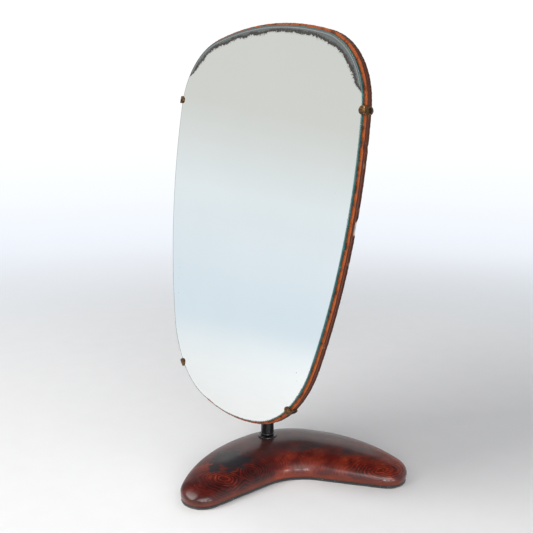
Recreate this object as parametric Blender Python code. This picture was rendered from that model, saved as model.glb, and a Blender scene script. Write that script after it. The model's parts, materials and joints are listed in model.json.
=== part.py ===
"""A table-top vanity mirror: a frameless rounded glass on a plywood board, carried by a black post.

The board hangs on a knuckle behind its middle, so it tilts, and the post turns in a bush in the
base, so it swivels. The base is a domed, boomerang-shaped block of dark wood on a felt pad.

Metres, +Z up. The origin is on the table, under the post's axis. The base's hollow side faces -Y.
"""
import math

import bmesh
import bpy
from mathutils import Matrix, Vector

# ---------------------------------------------------------------- fits and facets
GAP = 0.0003                            # clearance that touching pieces keep
ROUND_STEPS = 32                        # facets on the larger turned pieces
SMALL_STEPS = 20                        # facets on bolts, screws and washers

# ---------------------------------------------------------------- pose at rest
SWIVEL_AT_REST = math.radians(-64.5)    # about the post, from facing -Y
TILT_AT_REST = math.radians(7.8)        # the top leans back

# ---------------------------------------------------------------- glass and backing board
GLASS_FOOT_RADIUS = 0.2275               # middle of the lower edge
GLASS_LOWER_RADIUS = 0.1005              # lower corners
GLASS_FLANK_RADIUS = 0.1305              # easing from the lower corners into the sides
GLASS_SIDE_RADIUS = 0.7855               # the long, nearly straight sides
GLASS_UPPER_RADIUS = 0.0855              # upper corners; the top arc closes the outline
GLASS_FOOT_TURN = math.radians(13.4)    # heading where the foot arc ends
GLASS_LOWER_TURN = math.radians(46.9)   # heading where the lower corner ends
GLASS_FLANK_TURN = math.radians(73.7)   # heading where the flank ends
GLASS_SIDE_TURN = math.radians(93.8)    # heading where the side ends
GLASS_UPPER_TURN = math.radians(165.9)  # heading where the upper corner ends
GLASS_THICKNESS = 0.003
GLASS_ARRIS = 0.0004                    # ground-off sharp edge
BOARD_OVERHANG = 0.003                 # board past the glass all round
BOARD_THICKNESS = 0.008
BOARD_ARRIS = 0.0006

# ---------------------------------------------------------------- glass clips
CLIP_WIDTH = 0.009
CLIP_GAUGE = 0.001                      # thickness of the brass strip
CLIP_REACH = 0.0035                     # lip past the glass edge
CLIP_BEND_RADIUS = 0.0009               # middle line of the bend between lip and leg
CLIP_END_STEPS = 6
CLIP_SCREW_SETBACK = 0.0075             # screw behind the glass front
# Height of each clip above the foot of the glass; they were set by eye, so they differ.
CLIP_HEIGHTS = {"upper_left": 0.368, "upper_right": 0.3595, "lower_left": 0.0345, "lower_right": 0.0345}
CLIP_SCREW_RADIUS = 0.0012
CLIP_SCREW_DEPTH = 0.009
CLIP_SCREW_HEAD_RADIUS = 0.0027
CLIP_SCREW_HEAD_HEIGHT = 0.0008

# ---------------------------------------------------------------- post
PIVOT_HEIGHT = 0.301                    # tilt axis above the table
PIVOT_ABOVE_GLASS_FOOT = 0.2245
PIVOT_BEHIND_GLASS = 0.030              # tilt axis behind the glass front
POST_RADIUS = 0.008
POST_CHAMFER = 0.0008
STUD_RADIUS = 0.004                     # threaded ends of the post
STUD_TIP_ABOVE_PAD = 0.0023
SPIGOT_LENGTH = 0.0095

# ---------------------------------------------------------------- tilt knuckle
EYE_THICKNESS = 0.008
EYE_RADIUS = 0.008
EYE_SHANK_DROP = 0.011                  # top of the round shank below the tilt axis
EYE_SHANK_HEIGHT = 0.0115
FRICTION_WASHER_THICKNESS = 0.001
FRICTION_WASHER_RADIUS = 0.007
EAR_THICKNESS = 0.004
EAR_RADIUS = 0.009
PLATE_WIDTH = 0.052
PLATE_HEIGHT = 0.062
PLATE_THICKNESS = 0.003
PLATE_CORNER = 0.010
BOLT_RADIUS = 0.003
BOLT_HEAD_RADIUS = 0.006
BOLT_HEAD_HEIGHT = 0.004
OUTER_WASHER_THICKNESS = 0.0012
KNOB_RADIUS = 0.011
KNOB_LENGTH = 0.011
KNOB_FLUTES = 10
KNOB_FLUTE_DEPTH = 0.0012
BOLT_PAST_KNOB = 0.001
PLATE_SCREW_RADIUS = 0.00175
PLATE_SCREW_HEAD_RADIUS = 0.0035
PLATE_SCREW_HEAD_HEIGHT = 0.0022
PLATE_SCREW_DEPTH = 0.0058              # shank inside the board
PLATE_SCREW_INSET = 0.008               # screw centre from the plate's edges

# ---------------------------------------------------------------- base
PAD_THICKNESS = 0.003
PAD_INSET = 0.0005
BASE_CROWN_HEIGHT = 0.0382              # highest wood above the table
BASE_EDGE_HEIGHT = 0.0115               # where the dome springs from the upright edge
BASE_FALL_POWER = 2.4                   # how late along the arms the crown line falls to the edge
BASE_CENTRE_X = 0.0182                  # the post stands off the middle by this
BASE_FRONT_Y = -0.0515                  # middle of the hollow side
BASE_HOLLOW_RADIUS = 0.061
BASE_ARM_SLOPE = math.radians(27.8)     # arms fall away from the middle
BASE_TIP_RADIUS = 0.0259
BASE_TIP_TURN = math.radians(110.4)     # heading where the rounded tip ends
BASE_BACK_SIDE_RADIUS = 0.1663
BASE_BACK_TURN = math.radians(157.1)    # heading where the crown arc begins
BASE_CROWN_RADIUS = 0.1105
BASE_UNDERCUT = 0.0015                  # wood is this much narrower at the felt
BASE_FRONT_FULLNESS = 2.4               # exponent of the dome's front half; 2 is an ellipse
BASE_BACK_FULLNESS = 3.0                # exponent of its back half
BASE_RIB_STEPS = 14                     # facets across an arm
HOLLOW_STEPS = 5                        # facets of each stretch of the half outline
ARM_STEPS = 9
TIP_STEPS = 12
BACK_STEPS = 8
CROWN_STEPS = 6                         # hollow + arm equals back + crown, so ribs pair up

# ---------------------------------------------------------------- swivel bush and its nut
BUSH_FLANGE_RADIUS = 0.0115
BUSH_FLANGE_HEIGHT = 0.0024
BUSH_SHANK_RADIUS = 0.0065
SEAT_DEPTH = 0.0012                     # flat seat cut into the crown for the flange
RECESS_RADIUS = 0.017
RECESS_DEPTH = 0.014
SWIVEL_WASHER_RADIUS = 0.012
SWIVEL_WASHER_THICKNESS = 0.0016
SPRING_WASHER_RADIUS = 0.009
SPRING_WASHER_THICKNESS = 0.0015
NUT_ACROSS_FLATS = 0.013
NUT_HEIGHT = 0.0065

# ---------------------------------------------------------------- worked out from the above
POST_BORE = STUD_RADIUS + GAP
BASE_FOOT_Z = PAD_THICKNESS + GAP
SEAT_Z = BASE_CROWN_HEIGHT - SEAT_DEPTH
FLANGE_FOOT_Z = SEAT_Z + GAP
FLANGE_TOP_Z = FLANGE_FOOT_Z + BUSH_FLANGE_HEIGHT
RECESS_TOP_Z = BASE_FOOT_Z + RECESS_DEPTH
POST_FOOT_Z = FLANGE_TOP_Z + GAP
EYE_SHANK_TOP_Z = PIVOT_HEIGHT - EYE_SHANK_DROP
EYE_FOOT_Z = EYE_SHANK_TOP_Z - EYE_SHANK_HEIGHT
POST_TOP_Z = EYE_FOOT_Z - GAP
EAR_INNER_X = EYE_THICKNESS / 2 + FRICTION_WASHER_THICKNESS + 2 * GAP
EAR_OUTER_X = EAR_INNER_X + EAR_THICKNESS
OUTER_WASHER_X = EAR_OUTER_X + GAP
KNOB_X = OUTER_WASHER_X + OUTER_WASHER_THICKNESS + GAP
GLASS_FRONT_Y = -PIVOT_BEHIND_GLASS
GLASS_BACK_Y = GLASS_FRONT_Y + GLASS_THICKNESS
BOARD_FRONT_Y = GLASS_BACK_Y + GAP
BOARD_BACK_Y = BOARD_FRONT_Y + BOARD_THICKNESS
PLATE_FRONT_Y = BOARD_BACK_Y + GAP
PLATE_BACK_Y = PLATE_FRONT_Y + PLATE_THICKNESS
GLASS_FOOT_Z = -PIVOT_ABOVE_GLASS_FOOT

for leftover in list(bpy.data.objects):
    bpy.data.objects.remove(leftover, do_unlink=True)


# ================================================================ helpers
def material(name, colour, roughness, metallic=0.0, coat=0.0):
    """One Principled material with a plain colour."""
    made = bpy.data.materials.new(name)
    made.use_nodes = True
    shader = made.node_tree.nodes["Principled BSDF"]
    shader.inputs["Base Color"].default_value = (*colour, 1.0)
    shader.inputs["Roughness"].default_value = roughness
    shader.inputs["Metallic"].default_value = metallic
    shader.inputs["Coat Weight"].default_value = coat
    made.diffuse_color = (*colour, 1.0)
    return made


def add_object(name, bm, made, parent=None, smooth_angle=35.0):
    """Turn a bmesh into a named object with its material, shaded smooth below the given angle."""
    bmesh.ops.remove_doubles(bm, verts=bm.verts, dist=1e-7)
    bmesh.ops.recalc_face_normals(bm, faces=bm.faces)
    mesh = bpy.data.meshes.new(name)
    bm.to_mesh(mesh)
    bm.free()
    mesh.shade_smooth()
    mesh.set_sharp_from_angle(angle=math.radians(smooth_angle))
    mesh.materials.append(made)
    placed = bpy.data.objects.new(name, mesh)
    placed.parent = parent
    bpy.context.scene.collection.objects.link(placed)
    return placed


def add_turned(bm, profile, steps, frame=Matrix()):
    """Spin a profile of (radius, height) points about the local Z axis and close it."""
    verts = [bm.verts.new((radius, 0.0, height)) for radius, height in profile]
    edges = [bm.edges.new(pair) for pair in zip(verts, verts[1:])]
    if all(radius > 0.0 for radius, _ in profile):
        edges.append(bm.edges.new((verts[-1], verts[0])))
    before = set(bm.verts) - set(verts)
    bmesh.ops.spin(bm, geom=verts + edges, cent=(0, 0, 0), axis=(0, 0, 1), dvec=(0, 0, 0),
                   angle=2 * math.pi, steps=steps, use_merge=True)
    new = [vert for vert in bm.verts if vert not in before]
    bmesh.ops.remove_doubles(bm, verts=new, dist=1e-7)
    new = [vert for vert in bm.verts if vert not in before]
    bmesh.ops.transform(bm, matrix=frame, verts=new)


def add_prism(bm, outline, low, high, frame=Matrix()):
    """Raise a flat outline of (x, y) points from low to high along the local Z axis."""
    foot = bm.faces.new([bm.verts.new((x, y, low)) for x, y in outline])
    raised = bmesh.ops.extrude_face_region(bm, geom=[foot])
    top = [item for item in raised["geom"] if isinstance(item, bmesh.types.BMVert)]
    bmesh.ops.translate(bm, vec=(0, 0, high - low), verts=top)
    bmesh.ops.transform(bm, matrix=frame, verts=list(foot.verts) + top)


def turned(name, profile, made, parent=None, steps=ROUND_STEPS, frame=Matrix()):
    """A named turned piece."""
    bm = bmesh.new()
    add_turned(bm, profile, steps, frame)
    return add_object(name, bm, made, parent)


def ring_profile(inner, outer, low, high, chamfer=0.0):
    """Closed section of a washer, bush or nut, with its outer corners chamfered."""
    section = [(inner, low), (inner, high)]
    if chamfer:
        section += [(outer - chamfer, high), (outer, high - chamfer)]
        section += [(outer, low + chamfer), (outer - chamfer, low)]
    else:
        section += [(outer, high), (outer, low)]
    return section


def rod_profile(radius, low, high):
    """Section of a plain round rod."""
    return [(0.0, low), (radius, low), (radius, high), (0.0, high)]


def cut(target, name, bm, parent=None):
    """Cut the shape in the bmesh out of the target with an exact Boolean."""
    cutter = add_object(name, bm, CUTTER, parent)
    cutter.hide_render = True
    cutter.display_type = "WIRE"
    modifier = target.modifiers.new(name, "BOOLEAN")
    modifier.operation = "DIFFERENCE"
    modifier.solver = "EXACT"
    modifier.object = cutter


def join(target, name, bm, parent=None):
    """Join the shape in the bmesh to the target with an exact Boolean."""
    guide = add_object(name, bm, CUTTER, parent)
    guide.hide_render = True
    guide.display_type = "WIRE"
    modifier = target.modifiers.new(name, "BOOLEAN")
    modifier.operation = "UNION"
    modifier.solver = "EXACT"
    modifier.object = guide


def arc_points(start, heading, radius, end_heading, steps):
    """Points after start along an arc that turns from one heading to another."""
    points = []
    side = math.copysign(1.0, end_heading - heading)
    for step in range(1, steps + 1):
        turn = heading + (end_heading - heading) * step / steps
        points.append((start[0] + side * radius * (math.sin(turn) - math.sin(heading)),
                       start[1] + side * radius * (math.cos(heading) - math.cos(turn))))
    return points


def whole_outline(half):
    """Mirror a half outline that starts and ends on x = 0 into a closed one."""
    other = [(-x, y) for x, y in reversed(half[1:-1])]
    return half + other


# Frames for pieces made along local Z. ALONG_X lays them along +X, ALONG_Y along -Y, and
# ACROSS stands an outline of (y, z) points up, with its thickness along X.
ACROSS = Matrix(((0, 0, 1, 0), (1, 0, 0, 0), (0, 1, 0, 0), (0, 0, 0, 1)))
ALONG_X = Matrix.Rotation(math.radians(90), 4, "Y")
ALONG_Y = Matrix.Rotation(math.radians(90), 4, "X")
FACING_FRONT = ALONG_Y

CUTTER = material("cutter", (1.0, 0.2, 0.2), 0.5)
ROSEWOOD = material("rosewood", (0.085, 0.022, 0.014), 0.28, coat=0.5)
FELT = material("felt", (0.012, 0.012, 0.013), 0.95)
BLACK_ENAMEL = material("black_enamel", (0.008, 0.008, 0.009), 0.22, coat=0.4)
PLAIN_STEEL = material("plain_steel", (0.42, 0.42, 0.43), 0.38, metallic=1.0)
AGED_BRASS = material("aged_brass", (0.22, 0.145, 0.07), 0.42, metallic=1.0)
FIBRE = material("red_fibre", (0.20, 0.035, 0.02), 0.7)
PLYWOOD = material("plywood", (0.20, 0.075, 0.03), 0.5)
MIRROR_GLASS = material("mirror_glass", (0.72, 0.78, 0.79), 0.04, metallic=0.9)

swivel_axis = bpy.data.objects.new("swivel_axis", None)
swivel_axis.rotation_euler = (0.0, 0.0, SWIVEL_AT_REST)
bpy.context.scene.collection.objects.link(swivel_axis)
tilt_axis = bpy.data.objects.new("tilt_axis", None)
tilt_axis.location = (0.0, 0.0, PIVOT_HEIGHT)
tilt_axis.rotation_euler = (-TILT_AT_REST, 0.0, 0.0)
tilt_axis.parent = swivel_axis
bpy.context.scene.collection.objects.link(tilt_axis)


# ================================================================ base
base_frame = Matrix.Translation((BASE_CENTRE_X, 0.0, 0.0))


def base_half_outline(inset):
    """Half of the boomerang outline, moved inwards by the inset, with its middle at x = 0.

    The half outline runs from the hollow's middle: a hollow arc, a straight arm, the round tip,
    a long back arc and the crown arc. The arm's length is what closes it on the middle line.
    """
    hollow = BASE_HOLLOW_RADIUS + inset
    tip = BASE_TIP_RADIUS - inset
    side = BASE_BACK_SIDE_RADIUS - inset
    crown = BASE_CROWN_RADIUS - inset
    slope = -BASE_ARM_SLOPE
    across = (-hollow * math.sin(slope) + tip * (math.sin(BASE_TIP_TURN) - math.sin(slope))
              + side * (math.sin(BASE_BACK_TURN) - math.sin(BASE_TIP_TURN))
              - crown * math.sin(BASE_BACK_TURN))
    arm = -across / math.cos(slope)
    half = [(0.0, BASE_FRONT_Y + inset)]
    half += arc_points(half[-1], 0.0, hollow, slope, HOLLOW_STEPS)
    x, y = half[-1]
    for step in range(1, ARM_STEPS + 1):
        run = arm * step / ARM_STEPS
        half.append((x + run * math.cos(slope), y + run * math.sin(slope)))
    half += arc_points(half[-1], slope, tip, BASE_TIP_TURN, TIP_STEPS)
    half += arc_points(half[-1], BASE_TIP_TURN, side, BASE_BACK_TURN, BACK_STEPS)
    half += arc_points(half[-1], BASE_BACK_TURN, crown, math.pi, CROWN_STEPS)
    half[-1] = (0.0, half[-1][1])
    return half


def base_ribs(inset):
    """Pairs of points (front, back) on the outline, from the left tip to the right tip."""
    half = base_half_outline(inset)
    tip = HOLLOW_STEPS + ARM_STEPS + TIP_STEPS // 2
    right = [(half[step], half[-1 - step]) for step in range(tip + 1)]
    left = [((-front[0], front[1]), (-back[0], back[1])) for front, back in right[:0:-1]]
    return left + right


def make_base_body():
    """A domed block: ribs cross each arm and rise from an upright edge to the crown line."""
    ribs = base_ribs(0.0)
    half_length = ribs[-1][0][0]
    bm = bmesh.new()
    rows = []
    for front, back in ribs:
        half_width = math.dist(front, back) / 2
        end_round = 1.0 - (1.0 - min(half_width / BASE_TIP_RADIUS, 1.0)) ** 2
        fall = (abs(front[0]) / half_length) ** BASE_FALL_POWER
        rise = (BASE_CROWN_HEIGHT - BASE_EDGE_HEIGHT) * (1.0 - fall) * end_round
        row = []
        for step in range(BASE_RIB_STEPS + 1):
            across = -math.cos(math.pi * step / BASE_RIB_STEPS)
            share = (1.0 + across) / 2
            fullness = BASE_FRONT_FULLNESS if across < 0.0 else BASE_BACK_FULLNESS
            height = BASE_EDGE_HEIGHT + rise * math.sqrt(1.0 - abs(across) ** fullness)
            row.append(bm.verts.new((front[0] + (back[0] - front[0]) * share,
                                     front[1] + (back[1] - front[1]) * share, height)))
        rows.append(row)
    for row, next_row in zip(rows, rows[1:]):
        for step in range(BASE_RIB_STEPS):
            bm.faces.new((row[step], next_row[step], next_row[step + 1], row[step + 1]))
    bmesh.ops.remove_doubles(bm, verts=bm.verts, dist=1e-6)
    foot_outline = whole_outline(base_half_outline(BASE_UNDERCUT))
    edge_outline = whole_outline(base_half_outline(0.0))
    edge = [min(bm.verts, key=lambda vert: math.dist(vert.co, (x, y, BASE_EDGE_HEIGHT)))
            for x, y in edge_outline]
    foot = [bm.verts.new((x, y, BASE_FOOT_Z)) for x, y in foot_outline]
    for step in range(len(foot)):
        bm.faces.new((foot[step - 1], foot[step], edge[step], edge[step - 1]))
    bm.faces.new(foot)
    bmesh.ops.transform(bm, matrix=base_frame, verts=bm.verts)
    body = add_object("base_body", bm, ROSEWOOD, smooth_angle=50.0)

    bore = bmesh.new()
    add_turned(bore, rod_profile(BUSH_SHANK_RADIUS + GAP, 0.0, BASE_CROWN_HEIGHT * 2), ROUND_STEPS)
    cut(body, "cut_bush_bore", bore)
    seat = bmesh.new()
    seat_profile = rod_profile(BUSH_FLANGE_RADIUS + GAP, SEAT_Z, BASE_CROWN_HEIGHT * 2)
    add_turned(seat, seat_profile, ROUND_STEPS)
    cut(body, "cut_flange_seat", seat)
    recess = bmesh.new()
    add_turned(recess, rod_profile(RECESS_RADIUS, 0.0, RECESS_TOP_Z), ROUND_STEPS)
    cut(body, "cut_nut_recess", recess)


def make_base_pad():
    """Felt glued under the wood; it hides the nut's recess."""
    bm = bmesh.new()
    add_prism(bm, whole_outline(base_half_outline(PAD_INSET)), 0.0, PAD_THICKNESS, base_frame)
    add_object("base_pad", bm, FELT)


make_base_body()
make_base_pad()


# ================================================================ swivel: bush, washers and nut
turned("base_bush",
       [(POST_BORE, RECESS_TOP_Z + GAP), (POST_BORE, FLANGE_TOP_Z),
        (BUSH_FLANGE_RADIUS - POST_CHAMFER, FLANGE_TOP_Z),
        (BUSH_FLANGE_RADIUS, FLANGE_TOP_Z - POST_CHAMFER),
        (BUSH_FLANGE_RADIUS, FLANGE_FOOT_Z), (BUSH_SHANK_RADIUS, FLANGE_FOOT_Z),
        (BUSH_SHANK_RADIUS, RECESS_TOP_Z + GAP)],
       BLACK_ENAMEL)

washer_top = RECESS_TOP_Z - GAP
washer_foot = washer_top - SWIVEL_WASHER_THICKNESS
turned("swivel_washer", ring_profile(POST_BORE, SWIVEL_WASHER_RADIUS, washer_foot, washer_top),
       PLAIN_STEEL, swivel_axis)
spring_top = washer_foot - GAP
spring_foot = spring_top - SPRING_WASHER_THICKNESS
turned("swivel_spring_washer",
       ring_profile(POST_BORE, SPRING_WASHER_RADIUS, spring_foot, spring_top),
       PLAIN_STEEL, swivel_axis, SMALL_STEPS)


def hexagon_nut(name, across_flats, low, high, bore, made, parent):
    """A plain hexagon with a round bore."""
    bm = bmesh.new()
    corner = across_flats / 2 / math.cos(math.pi / 6)
    add_prism(bm, [(corner * math.cos(turn * math.pi / 3), corner * math.sin(turn * math.pi / 3))
                   for turn in range(6)], low, high)
    nut = add_object(name, bm, made, parent)
    hole = bmesh.new()
    add_turned(hole, rod_profile(bore, low - across_flats, high + across_flats), SMALL_STEPS)
    cut(nut, f"cut_{name}_bore", hole, parent)


nut_top = spring_foot - GAP
hexagon_nut("swivel_nut", NUT_ACROSS_FLATS, nut_top - NUT_HEIGHT, nut_top, POST_BORE, PLAIN_STEEL,
            swivel_axis)

# ================================================================ post
turned("post",
       [(0.0, PAD_THICKNESS + STUD_TIP_ABOVE_PAD), (STUD_RADIUS, PAD_THICKNESS + STUD_TIP_ABOVE_PAD),
        (STUD_RADIUS, POST_FOOT_Z), (POST_RADIUS - POST_CHAMFER, POST_FOOT_Z),
        (POST_RADIUS, POST_FOOT_Z + POST_CHAMFER), (POST_RADIUS, POST_TOP_Z - POST_CHAMFER),
        (POST_RADIUS - POST_CHAMFER, POST_TOP_Z), (STUD_RADIUS, POST_TOP_Z),
        (STUD_RADIUS, POST_TOP_Z + SPIGOT_LENGTH), (0.0, POST_TOP_Z + SPIGOT_LENGTH)],
       BLACK_ENAMEL, swivel_axis)


# ================================================================ tilt knuckle
def make_tilt_eye():
    """The post's head: a round shank with a flat tongue that the tilt bolt passes through."""
    bm = bmesh.new()
    shank = ring_profile(POST_BORE, POST_RADIUS, EYE_FOOT_Z, EYE_SHANK_TOP_Z, POST_CHAMFER)
    add_turned(bm, shank, ROUND_STEPS)
    eye = add_object("tilt_eye", bm, BLACK_ENAMEL, swivel_axis)
    foot_z = EYE_FOOT_Z + SPIGOT_LENGTH + GAP - PIVOT_HEIGHT
    outline = [(-EYE_RADIUS * 0.9, foot_z), (EYE_RADIUS * 0.9, foot_z), (EYE_RADIUS, 0.0)]
    outline += arc_points(outline[-1], math.pi / 2, EYE_RADIUS, math.pi * 1.5, 12)
    tongue = bmesh.new()
    raise_up = Matrix.Translation((0.0, 0.0, PIVOT_HEIGHT)) @ ACROSS
    add_prism(tongue, outline, -EYE_THICKNESS / 2, EYE_THICKNESS / 2, raise_up)
    join(eye, "tongue", tongue, swivel_axis)
    hole = bmesh.new()
    at_pivot = Matrix.Translation((0.0, 0.0, PIVOT_HEIGHT)) @ ALONG_X
    add_turned(hole, rod_profile(BOLT_RADIUS + GAP, -EYE_THICKNESS, EYE_THICKNESS), SMALL_STEPS, at_pivot)
    cut(eye, "cut_eye_bore", hole, swivel_axis)


make_tilt_eye()


def make_tilt_fork():
    """The bracket on the board: a plate with two round-ended ears either side of the eye."""
    bm = bmesh.new()
    add_prism(bm, rounded_rectangle(PLATE_WIDTH, PLATE_HEIGHT, PLATE_CORNER),
              -PLATE_BACK_Y, -PLATE_FRONT_Y, FACING_FRONT)
    fork = add_object("tilt_fork", bm, BLACK_ENAMEL, tilt_axis)
    root_y = (PLATE_FRONT_Y + PLATE_BACK_Y) / 2
    ear = [(root_y, EAR_RADIUS), (root_y, -EAR_RADIUS), (0.0, -EAR_RADIUS)]
    ear += arc_points(ear[-1], 0.0, EAR_RADIUS, math.pi, 12)
    for name, inner in (("left_ear", -EAR_OUTER_X), ("right_ear", EAR_INNER_X)):
        bm = bmesh.new()
        add_prism(bm, ear, inner, inner + EAR_THICKNESS, ACROSS)
        join(fork, name, bm, tilt_axis)
    hole = bmesh.new()
    add_turned(hole, rod_profile(BOLT_RADIUS + GAP, -PLATE_WIDTH, PLATE_WIDTH), SMALL_STEPS, ALONG_X)
    cut(fork, "cut_ear_bores", hole, tilt_axis)
    for place, (x, z) in plate_screw_places().items():
        hole = bmesh.new()
        add_turned(hole, rod_profile(PLATE_SCREW_RADIUS + GAP, -PLATE_BACK_Y / 2, -PLATE_FRONT_Y * 2),
                   SMALL_STEPS, Matrix.Translation((x, 0.0, z)) @ ALONG_Y)
        cut(fork, f"cut_plate_hole_{place}", hole, tilt_axis)


def rounded_rectangle(width, height, corner):
    """Outline of a rectangle about the origin with rounded corners."""
    points = []
    for quarter in range(4):
        heading = quarter * math.pi / 2
        side_x = width / 2 if quarter in (0, 1) else -width / 2
        side_y = -height / 2 if quarter in (0, 3) else height / 2
        centre = (side_x - math.copysign(corner, side_x), side_y - math.copysign(corner, side_y))
        for step in range(7):
            turn = heading - math.pi / 2 + step * math.pi / 12
            points.append((centre[0] + corner * math.cos(turn), centre[1] + corner * math.sin(turn)))
    return points


def plate_screw_places():
    """Name and centre (x, z) about the tilt axis of each of the four plate screws."""
    x = PLATE_WIDTH / 2 - PLATE_SCREW_INSET
    z = PLATE_HEIGHT / 2 - PLATE_SCREW_INSET
    return {"lower_left": (-x, -z), "lower_right": (x, -z), "upper_right": (x, z), "upper_left": (-x, z)}


def button_head(radius, height, steps=4):
    """Half profile of a low domed head, from its rim to its crown, starting at height zero."""
    points = []
    for step in range(steps + 1):
        turn = math.pi / 2 * step / steps
        points.append((radius * math.cos(turn), height * math.sin(turn)))
    points[-1] = (0.0, height)
    return points


make_tilt_fork()
for hand, side in (("left", -1), ("right", 1)):
    middle = side * (EYE_THICKNESS / 2 + GAP + FRICTION_WASHER_THICKNESS / 2)
    washer = ring_profile(BOLT_RADIUS + GAP, FRICTION_WASHER_RADIUS,
                          middle - FRICTION_WASHER_THICKNESS / 2,
                          middle + FRICTION_WASHER_THICKNESS / 2)
    turned(f"friction_washer_{hand}", washer, FIBRE, tilt_axis, SMALL_STEPS, ALONG_X)

knob_end = KNOB_X + KNOB_LENGTH
head_foot = -EAR_OUTER_X - GAP
turned("tilt_bolt",
       [(0.0, head_foot - BOLT_HEAD_HEIGHT), (BOLT_HEAD_RADIUS * 0.7, head_foot - BOLT_HEAD_HEIGHT),
        (BOLT_HEAD_RADIUS, head_foot - BOLT_HEAD_HEIGHT / 2), (BOLT_HEAD_RADIUS, head_foot),
        (BOLT_RADIUS, head_foot), (BOLT_RADIUS, knob_end + BOLT_PAST_KNOB),
        (0.0, knob_end + BOLT_PAST_KNOB)],
       PLAIN_STEEL, tilt_axis, SMALL_STEPS, ALONG_X)
turned("tilt_outer_washer",
       ring_profile(BOLT_RADIUS + GAP, FRICTION_WASHER_RADIUS, OUTER_WASHER_X,
                    OUTER_WASHER_X + OUTER_WASHER_THICKNESS),
       PLAIN_STEEL, tilt_axis, SMALL_STEPS, ALONG_X)


def make_tilt_knob():
    """A fluted round nut that sets how tightly the knuckle grips."""
    bm = bmesh.new()
    points = []
    per_flute = 6
    for step in range(KNOB_FLUTES * per_flute):
        turn = 2 * math.pi * step / (KNOB_FLUTES * per_flute)
        radius = KNOB_RADIUS - KNOB_FLUTE_DEPTH * (0.5 - 0.5 * math.cos(KNOB_FLUTES * turn))
        points.append((radius * math.cos(turn), radius * math.sin(turn)))
    add_prism(bm, points, KNOB_X, knob_end, ALONG_X)
    knob = add_object("tilt_knob", bm, BLACK_ENAMEL, tilt_axis)
    hole = bmesh.new()
    add_turned(hole, rod_profile(BOLT_RADIUS + GAP, 0.0, knob_end * 2), SMALL_STEPS, ALONG_X)
    cut(knob, "cut_knob_bore", hole, tilt_axis)


make_tilt_knob()

head_seat = -(PLATE_BACK_Y + GAP)
tip = -(BOARD_BACK_Y - PLATE_SCREW_DEPTH)
for name, (x, z) in plate_screw_places().items():
    profile = [(0.0, tip), (PLATE_SCREW_RADIUS, tip), (PLATE_SCREW_RADIUS, head_seat)]
    profile += [(radius, head_seat - rise)
                for radius, rise in button_head(PLATE_SCREW_HEAD_RADIUS, PLATE_SCREW_HEAD_HEIGHT)]
    turned(f"plate_screw_{name}", profile, PLAIN_STEEL, tilt_axis, SMALL_STEPS,
           Matrix.Translation((x, 0.0, z)) @ ALONG_Y)


# ================================================================ glass and board
def glass_half_outline(outset):
    """Half of the glass outline, moved outwards, from the middle of its foot to its top.

    A foot arc, a lower corner, a flank, a long side, an upper corner and a top arc, each tangent to the
    next. The top arc's radius is what closes the outline on the middle line.
    """
    stretches = ((GLASS_FOOT_RADIUS, GLASS_FOOT_TURN, 4), (GLASS_LOWER_RADIUS, GLASS_LOWER_TURN, 6),
                 (GLASS_FLANK_RADIUS, GLASS_FLANK_TURN, 5), (GLASS_SIDE_RADIUS, GLASS_SIDE_TURN, 8),
                 (GLASS_UPPER_RADIUS, GLASS_UPPER_TURN, 11))
    half = [(0.0, GLASS_FOOT_Z - outset)]
    heading = 0.0
    for radius, end_heading, steps in stretches:
        half += arc_points(half[-1], heading, radius + outset, end_heading, steps)
        heading = end_heading
    top_radius = half[-1][0] / math.sin(heading)
    half += arc_points(half[-1], heading, top_radius, math.pi, 4)
    half[-1] = (0.0, half[-1][1])
    return half


def slab(name, outset, front_y, back_y, arris, made):
    """A flat slab of the glass's outline with ground-off edges, front at front_y."""
    bm = bmesh.new()
    loops = []
    for inward, y in ((arris, front_y), (0.0, front_y + arris), (0.0, back_y - arris), (arris, back_y)):
        outline = whole_outline(glass_half_outline(outset - inward))
        loops.append([bm.verts.new((x, y, z)) for x, z in outline])
    for loop, next_loop in zip(loops, loops[1:]):
        for step in range(len(loop)):
            bm.faces.new((loop[step - 1], loop[step], next_loop[step], next_loop[step - 1]))
    bm.faces.new(loops[0])
    bm.faces.new(loops[-1])
    return add_object(name, bm, made, tilt_axis)


def clip_places():
    """Name, point (x, z) on the board's edge and outward direction of each clip."""
    half = glass_half_outline(BOARD_OVERHANG)
    places = []
    for place, height in CLIP_HEIGHTS.items():
        z = GLASS_FOOT_Z + height
        below, above = next(pair for pair in zip(half, half[1:])
                            if pair[0][1] <= z < pair[1][1] and pair[0][0] > 0.0)
        share = (z - below[1]) / (above[1] - below[1])
        x = below[0] + (above[0] - below[0]) * share
        along = Vector((above[0] - below[0], above[1] - below[1])).normalized()
        side = -1 if place.endswith("left") else 1
        places.append((f"clip_{place}", (side * x, z), (side * along.y, -along.x)))
    return places


def clip_frame(point, outward):
    """Clip's own axes at its place: +X outwards, +Y to the back, +Z along the board's edge."""
    out = Vector((outward[0], 0.0, outward[1]))
    back = Vector((0.0, 1.0, 0.0))
    along = out.cross(back)
    frame = Matrix((out, back, along)).transposed().to_4x4()
    frame.translation = Vector((point[0], 0.0, point[1]))
    return frame


slab("mirror_glass", 0.0, GLASS_FRONT_Y, GLASS_BACK_Y, GLASS_ARRIS, MIRROR_GLASS)
board = slab("backing_board", BOARD_OVERHANG, BOARD_FRONT_Y, BOARD_BACK_Y, BOARD_ARRIS, PLYWOOD)
for place, (x, z) in plate_screw_places().items():
    hole = bmesh.new()
    depth = PLATE_SCREW_DEPTH + GAP
    add_turned(hole, rod_profile(PLATE_SCREW_RADIUS + GAP, -BOARD_BACK_Y / 2, -BOARD_BACK_Y + depth),
               SMALL_STEPS, Matrix.Translation((x, 0.0, z)) @ ALONG_Y)
    cut(board, f"cut_board_hole_{place}", hole, tilt_axis)


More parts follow.
